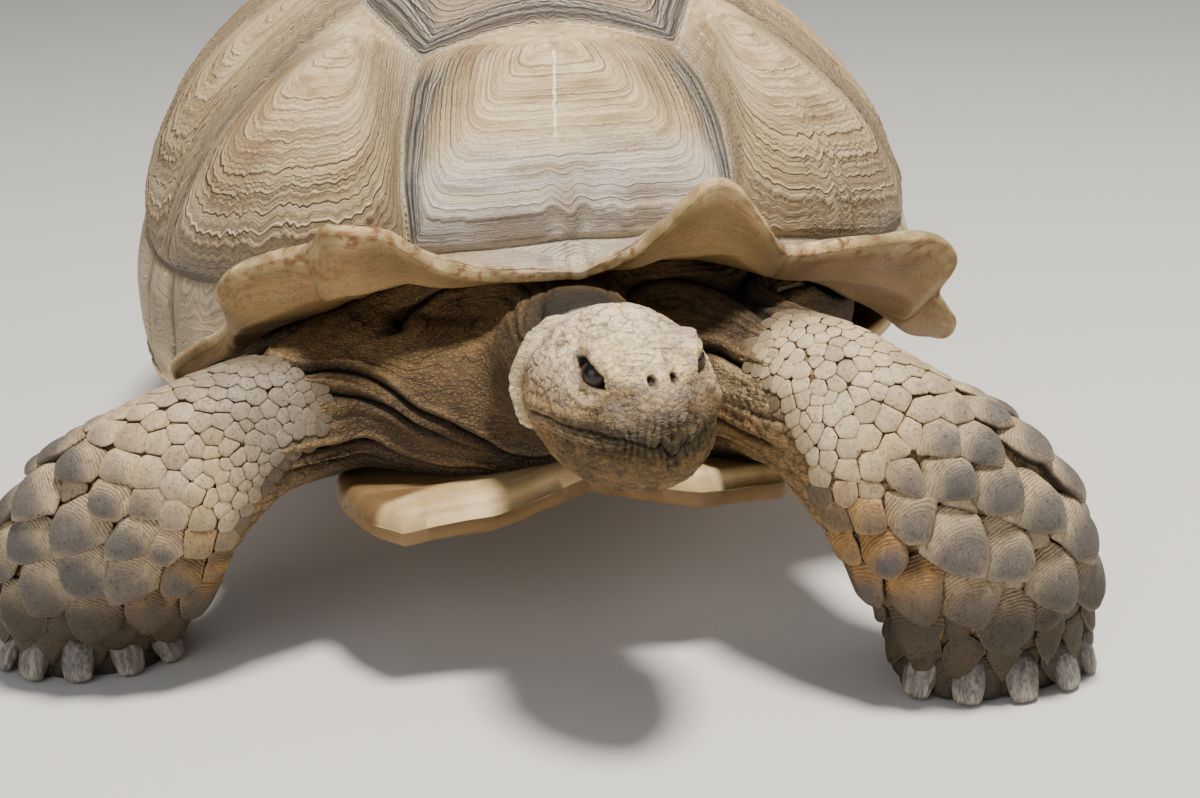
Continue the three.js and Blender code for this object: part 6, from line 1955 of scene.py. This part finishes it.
def scale_look():
    look = Look("scale_horn", Specular_IOR_Level=0.35)
    tint = look.paint("tint")
    light, deep = look.shades(tint, (1.6, 1.58, 1.6), (0.26, 0.235, 0.22))
    count = look.math("ADD", look.value("ring"), look.times(look.noise(6, 3), 1.3))
    wave = look.math("MULTIPLY_ADD", look.math("SINE", look.times(count, 6.283)), 0.5, 0.5)
    wave = look.math("POWER", wave, 1.6)
    strength = look.times(look.value("lines"), look.span(look.noise(12, 2), 0.32, 0.6, 0.35, 1.0))
    grain, dirt = look.noise(0.9, 4), look.noise(3.4, 5, look.place((1.2, 1.2, 0.5)), 0.65)
    pits = look.span(look.noise(2.2, 5, roughness=0.75), 0.54, 0.68)
    scratched = look.span(look.noise(1.6, 4, look.place((1.3, 1.3, 0.28)), 0.7), 0.56, 0.64)
    colour = look.cover(
        tint,
        (deep, look.math("SUBTRACT", 1.0, wave), strength, 0.9),
        (light, look.span(dirt, 0.48, 0.7, 0.0, 0.4)),
        (deep, scratched, 0.4),
        (light, look.span(look.noise(1.3, 5, roughness=0.85), 0.58, 0.66), 0.55),
        (deep, pits, 0.55),
        (deep, look.span(grain, 0.35, 0.7, 0.0, 0.3)),
    )
    height = look.heap(look.times(grain, 0.2), (look.times(wave, strength), 0.62), (dirt, 0.3), (pits, -0.2))
    return look.finish(colour, look.span(dirt, 0.3, 0.7, 0.48, 0.7), height, 0.95)


def fore_size(place, degrees):
    """Millimetres across a scale: small tiles at the elbow, big plates towards the foot."""
    down = through([1.5, 2.5, 3.1, 3.8, 4.8, 5.5, 6.0, 6.5], [6.6, 8.4, 13, 20, 22.5, 20, 15, 12])(place)
    edge = ease(-62, -15, degrees) * lerp(0.25, 1, ease(182, 150, degrees))
    upper = ease(3.6, 2.6, place)
    return down * lerp(0.62, 1, edge) * lerp(1, 0.85, upper * ease(40, 120, degrees))


def hind_size(place, degrees):
    down = through([1.6, 2.4, 3.2, 4.2], [12, 14, 17, 15])(place)
    return down * lerp(0.7, 1, 0.5 + 0.5 * np.cos(np.radians(degrees + 90)))


# Where the tiled patch of a forelimb begins down the limb, by degrees round it, and how far round it reaches.
PATCH_START = through([-64, 0, 50, 92, 110], [2.0, 1.8, 1.55, 1.5, 1.7])
PATCH_REACH = through([1.5, 2.3, 3.0, 3.6, 4.2], [98, 122, 140, 165, 188])
# Long pointed scales over the claws: place down the limb, degrees round it and width.
SPURS = [
    (5.6, -20, 12), (5.68, 4, 13), (5.58, 27, 14), (5.7, 48, 12), (5.56, 70, 14.5), (5.68, 93, 12.5),
    (5.58, 116, 14), (5.64, 142, 13),
]


def fore_scales(limb, side):
    """The places, angles and widths of a forelimb's scales, and their form as scale_mesh() takes it."""
    front = sow(limb, side, (1.5, 6.4), (-64, 188), fore_size, lambda at: lerp(0.2, 0.5, ease(3, 4, at)),
                20 + side, SPURS)
    inner = sow(limb, side, (4.5, 6.4), (196, 288), lambda at, _: 15 + 0 * at, lambda at: 0.3 + 0 * at,
                30 + side)
    scales = [np.concatenate(pair) for pair in zip(front, inner)]
    spur = np.arange(len(scales[0])) < len(SPURS)
    place, degrees, _ = scales
    kept = (place > PATCH_START(degrees)) & (degrees < PATCH_REACH(place)) | (degrees > 190) | spur
    place, degrees, wanted = scales = [v[kept] for v in scales]
    spur = spur[kept] * 1.0
    big = ease(10, 20, wanted)
    inward = ease(95, 140, degrees) * ease(3.6, 4.6, place)
    overlap = 0.1 + 0.48 * big + 0.15 * inward * big + 1.25 * spur
    lift = 0.5 + 0.04 * wanted + 0.3 * wanted * np.maximum(big, 1.5 * spur)
    point = 0.1 + 0.75 * big * (0.8 + 0.4 * inward) + 0.9 * spur
    shown = np.minimum((place - PATCH_START(degrees)) / 0.3, (PATCH_REACH(place) - degrees) / 14)
    shown = np.where((degrees > 190) | (place > 3.2), 1, ease(0, 1, shown))
    return scales, (overlap, lift, point, shown)


def hind_scales(limb, side):
    scales = sow(limb, side, (1.5, 4.5), (-180, 180), hind_size, lambda at: 0.25 + 0 * at, 60 + side)
    wanted = scales[2]
    return scales, (0 * wanted + 0.15, 0.6 + 0.1 * wanted, 0 * wanted + 0.3, 0 * wanted + 1)


def build_leg_scales():
    material = scale_look()
    for side, name in SIDES:
        fore, hind = FORELIMBS[side], HINDLIMBS[side]
        build_scales("fore_" + name, fore, side, *fore_scales(fore, side), 40 + side, material)
        build_scales("hind_" + name, hind, side, *hind_scales(hind, side), 80 + side, material)


# ---------------------------------------------------------------- claws and eyes
CLAW_LENGTH = 22
CLAW_HALF = 9.5
CLAW_SQUARE = 0.8
FRONT_CLAWS, HIND_CLAWS = 5, 4
FRONT_FAN, HIND_FAN = 62, 48  # degrees that the outermost claws point aside
FRONT_LEAN, HIND_LEAN = 8, 6  # degrees that all a foot's claws are turned outwards
GAZE = (0.83, 0.45, 0.3)  # the left eye's axis in the head's frame
CORNEA = 0.07  # how much the eyeball bulges over the iris
IRIS_EDGE, PUPIL_EDGE = 0.56, 0.31  # radians off the axis


def claw_course(at, reach, facing):
    wide, deep = reach
    way = np.array([math.sin(math.radians(facing)), -math.cos(math.radians(facing)), 0])
    root = np.array([at[0] + way[0] * wide, at[1] + way[1] * deep, 0])
    side = np.array([-way[1], way[0], 0])

    def station(out, z, wide, deep):
        return (tuple(root + way * out * CLAW_LENGTH + [0, 0, z]), CLAW_HALF * wide, CLAW_HALF * deep, side)

    return Course([station(-0.1, 28, 0.9, 0.62), station(0.26, 20, 0.98, 0.7), station(0.5, 11.5, 1.0, 0.62),
                   station(0.66, 4.6, 0.86, 0.44)], CLAW_SQUARE)


def claw_points(course, seed):
    """A shovel-shaped claw, ridged along its length and worn blunt at its edge."""
    rings = course.body(60, 36, 0.3, 1.0)
    points, faces = loft(rings)
    rows, columns = rings.shape[:2]
    along = np.concatenate([np.repeat(np.linspace(0, 1, rows), columns), [0, 1]])
    round_at = np.concatenate([np.tile(np.linspace(0, 2 * np.pi, columns, endpoint=False), rows), [0, 0]])
    middles = rings.mean(1)
    middle = np.concatenate([np.repeat(middles, columns, axis=0), middles[:1], middles[-1:]])
    ridge = rough(xyz(np.cos(round_at) * 4.5, np.sin(round_at) * 4.5, along * 0.8), 1, 2, seed)
    points = points + unit(points - middle) * (0.8 * ridge + 0.3 * rough(points, 5, 2, seed + 3))[:, None]
    points[:, 2] = np.maximum(points[:, 2], 0.3)
    return points, faces, along, ridge


def claw_paint(points, along, ridge, seed):
    """Grey horn, dark brown at its root as painted shade under the scales, and dusty at the floor."""
    return paints(
        (0.11, 0.099, 0.088),
        (ease(0.0, 0.5, ridge) * 0.6, (0.2, 0.182, 0.16)),
        (ease(0, 0.5, rough(points, 8, 3, seed)) * 0.6, (0.08, 0.07, 0.06)),
        (ease(0.7, 0.95, along) * 0.4, (0.3, 0.27, 0.23)),
        # Painted shade at the root, where the scales overhang the claw.
        (ease(0.5, 0.2, along) * 0.85, (0.045, 0.034, 0.025)),
        (ease(5, 1, points[:, 2]) * 0.5, (0.1, 0.08, 0.06)),
    )


def claw_look():
    look = Look("claw_horn", Specular_IOR_Level=0.45)
    streak = look.noise(3.2, 4, look.place((1, 1, 0.35)))
    tint = look.paint("tint")
    light, deep = look.shades(tint, (1.9, 1.85, 1.8), (0.3, 0.29, 0.28))
    colour = look.cover(
        tint,
        (light, look.span(streak, 0.42, 0.62, 0.0, 0.8)),
        (deep, look.span(look.noise(1.4, 4, look.place((1, 1, 0.25))), 0.5, 0.62, 0.0, 0.6)),
    )
    height = look.heap(look.times(look.noise(0.8, 3), 0.3), (streak, 0.7))
    return look.finish(colour, look.span(streak, 0.3, 0.7, 0.38, 0.62), height, 0.5)


def build_claws():
    material = claw_look()
    for side, name in SIDES:
        palm, pad = FORELIMBS[side].stations[6], HINDLIMBS[side].stations[4]
        front = np.linspace(-FRONT_FAN, FRONT_FAN, FRONT_CLAWS) + side * FRONT_LEAN
        hind = np.linspace(-HIND_FAN, HIND_FAN, HIND_CLAWS) + side * HIND_LEAN
        sets = [
            ("front_claw_", palm[0], (palm[1] - 8, palm[2] - 6), front),
            ("hind_claw_", pad[0], (pad[2] - 8, pad[1] - 8), hind),
        ]
        for prefix, at, reach, facings in sets:
            for i, facing in enumerate(facings):
                points, faces, along, ridge = claw_points(claw_course(at, reach, facing), 130 + i)
                tint = claw_paint(points, along, ridge, 131 + i)
                node = prefix + name + "_" + str(i + 1)
                claw = mesh_object(node.replace("claw", "nail"), points, faces, material, tint=tint)
                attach(claw, "root")
                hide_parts(node)


def eye_look(name):
    look = Look("eye_" + name, Specular_IOR_Level=0.3, Coat_Weight=0.12, Coat_Roughness=0.1)
    veil = (0.02, 0.012, 0.008), look.span(look.noise(1.2, 3), 0.4, 0.7, 0, 0.4)
    colour = look.cover(look.paint("tint"), veil)
    return look.finish(colour, look.span(look.noise(3, 2), 0.2, 0.8, 0.14, 0.22), look.noise(2, 2), 0.02)


def build_eyes():
    gaze = unit(GAZE)
    u = unit(np.cross(gaze, [0, 0, 1]))
    v = np.cross(gaze, u)
    polar, turn = np.meshgrid(np.linspace(0, np.pi, 40)[1:-1], np.linspace(0, 2 * np.pi, 48, endpoint=False),
                              indexing="ij")
    aside = np.cos(turn)[..., None] * u + np.sin(turn)[..., None] * v
    radius = (EYE_RADIUS - 0.3) * (1 + CORNEA * np.exp(-((polar / 0.42) ** 2)))[..., None]
    ball = (np.cos(polar)[..., None] * gaze + np.sin(polar)[..., None] * aside) * radius
    off_axis, turn = np.append(polar, [0, np.pi]), np.append(turn, [0, 0])
    spokes = noise(xyz(np.cos(turn) * 6, np.sin(turn) * 6, off_axis * 3), 1, 140)
    tint = paints(
        (0.02, 0.013, 0.009),
        (ease(IRIS_EDGE + 0.06, IRIS_EDGE - 0.06, off_axis) * (0.7 + 0.4 * spokes), (0.028, 0.017, 0.01)),
        (ease(PUPIL_EDGE + 0.03, PUPIL_EDGE - 0.03, off_axis), (0.002, 0.002, 0.002)),
    )
    for side, name in SIDES:
        points, faces = loft(on_head((ball + EYE) * [side, 1, 1]))
        eye = mesh_object("eyeball_" + name, points, faces, eye_look(name), tint=tint)
        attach(eye, "root")
        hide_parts("eye_" + name)


make_camera()
make_stage()
build_carapace()
build_plastron()
build_skin()
build_leg_scales()
build_claws()
build_eyes()
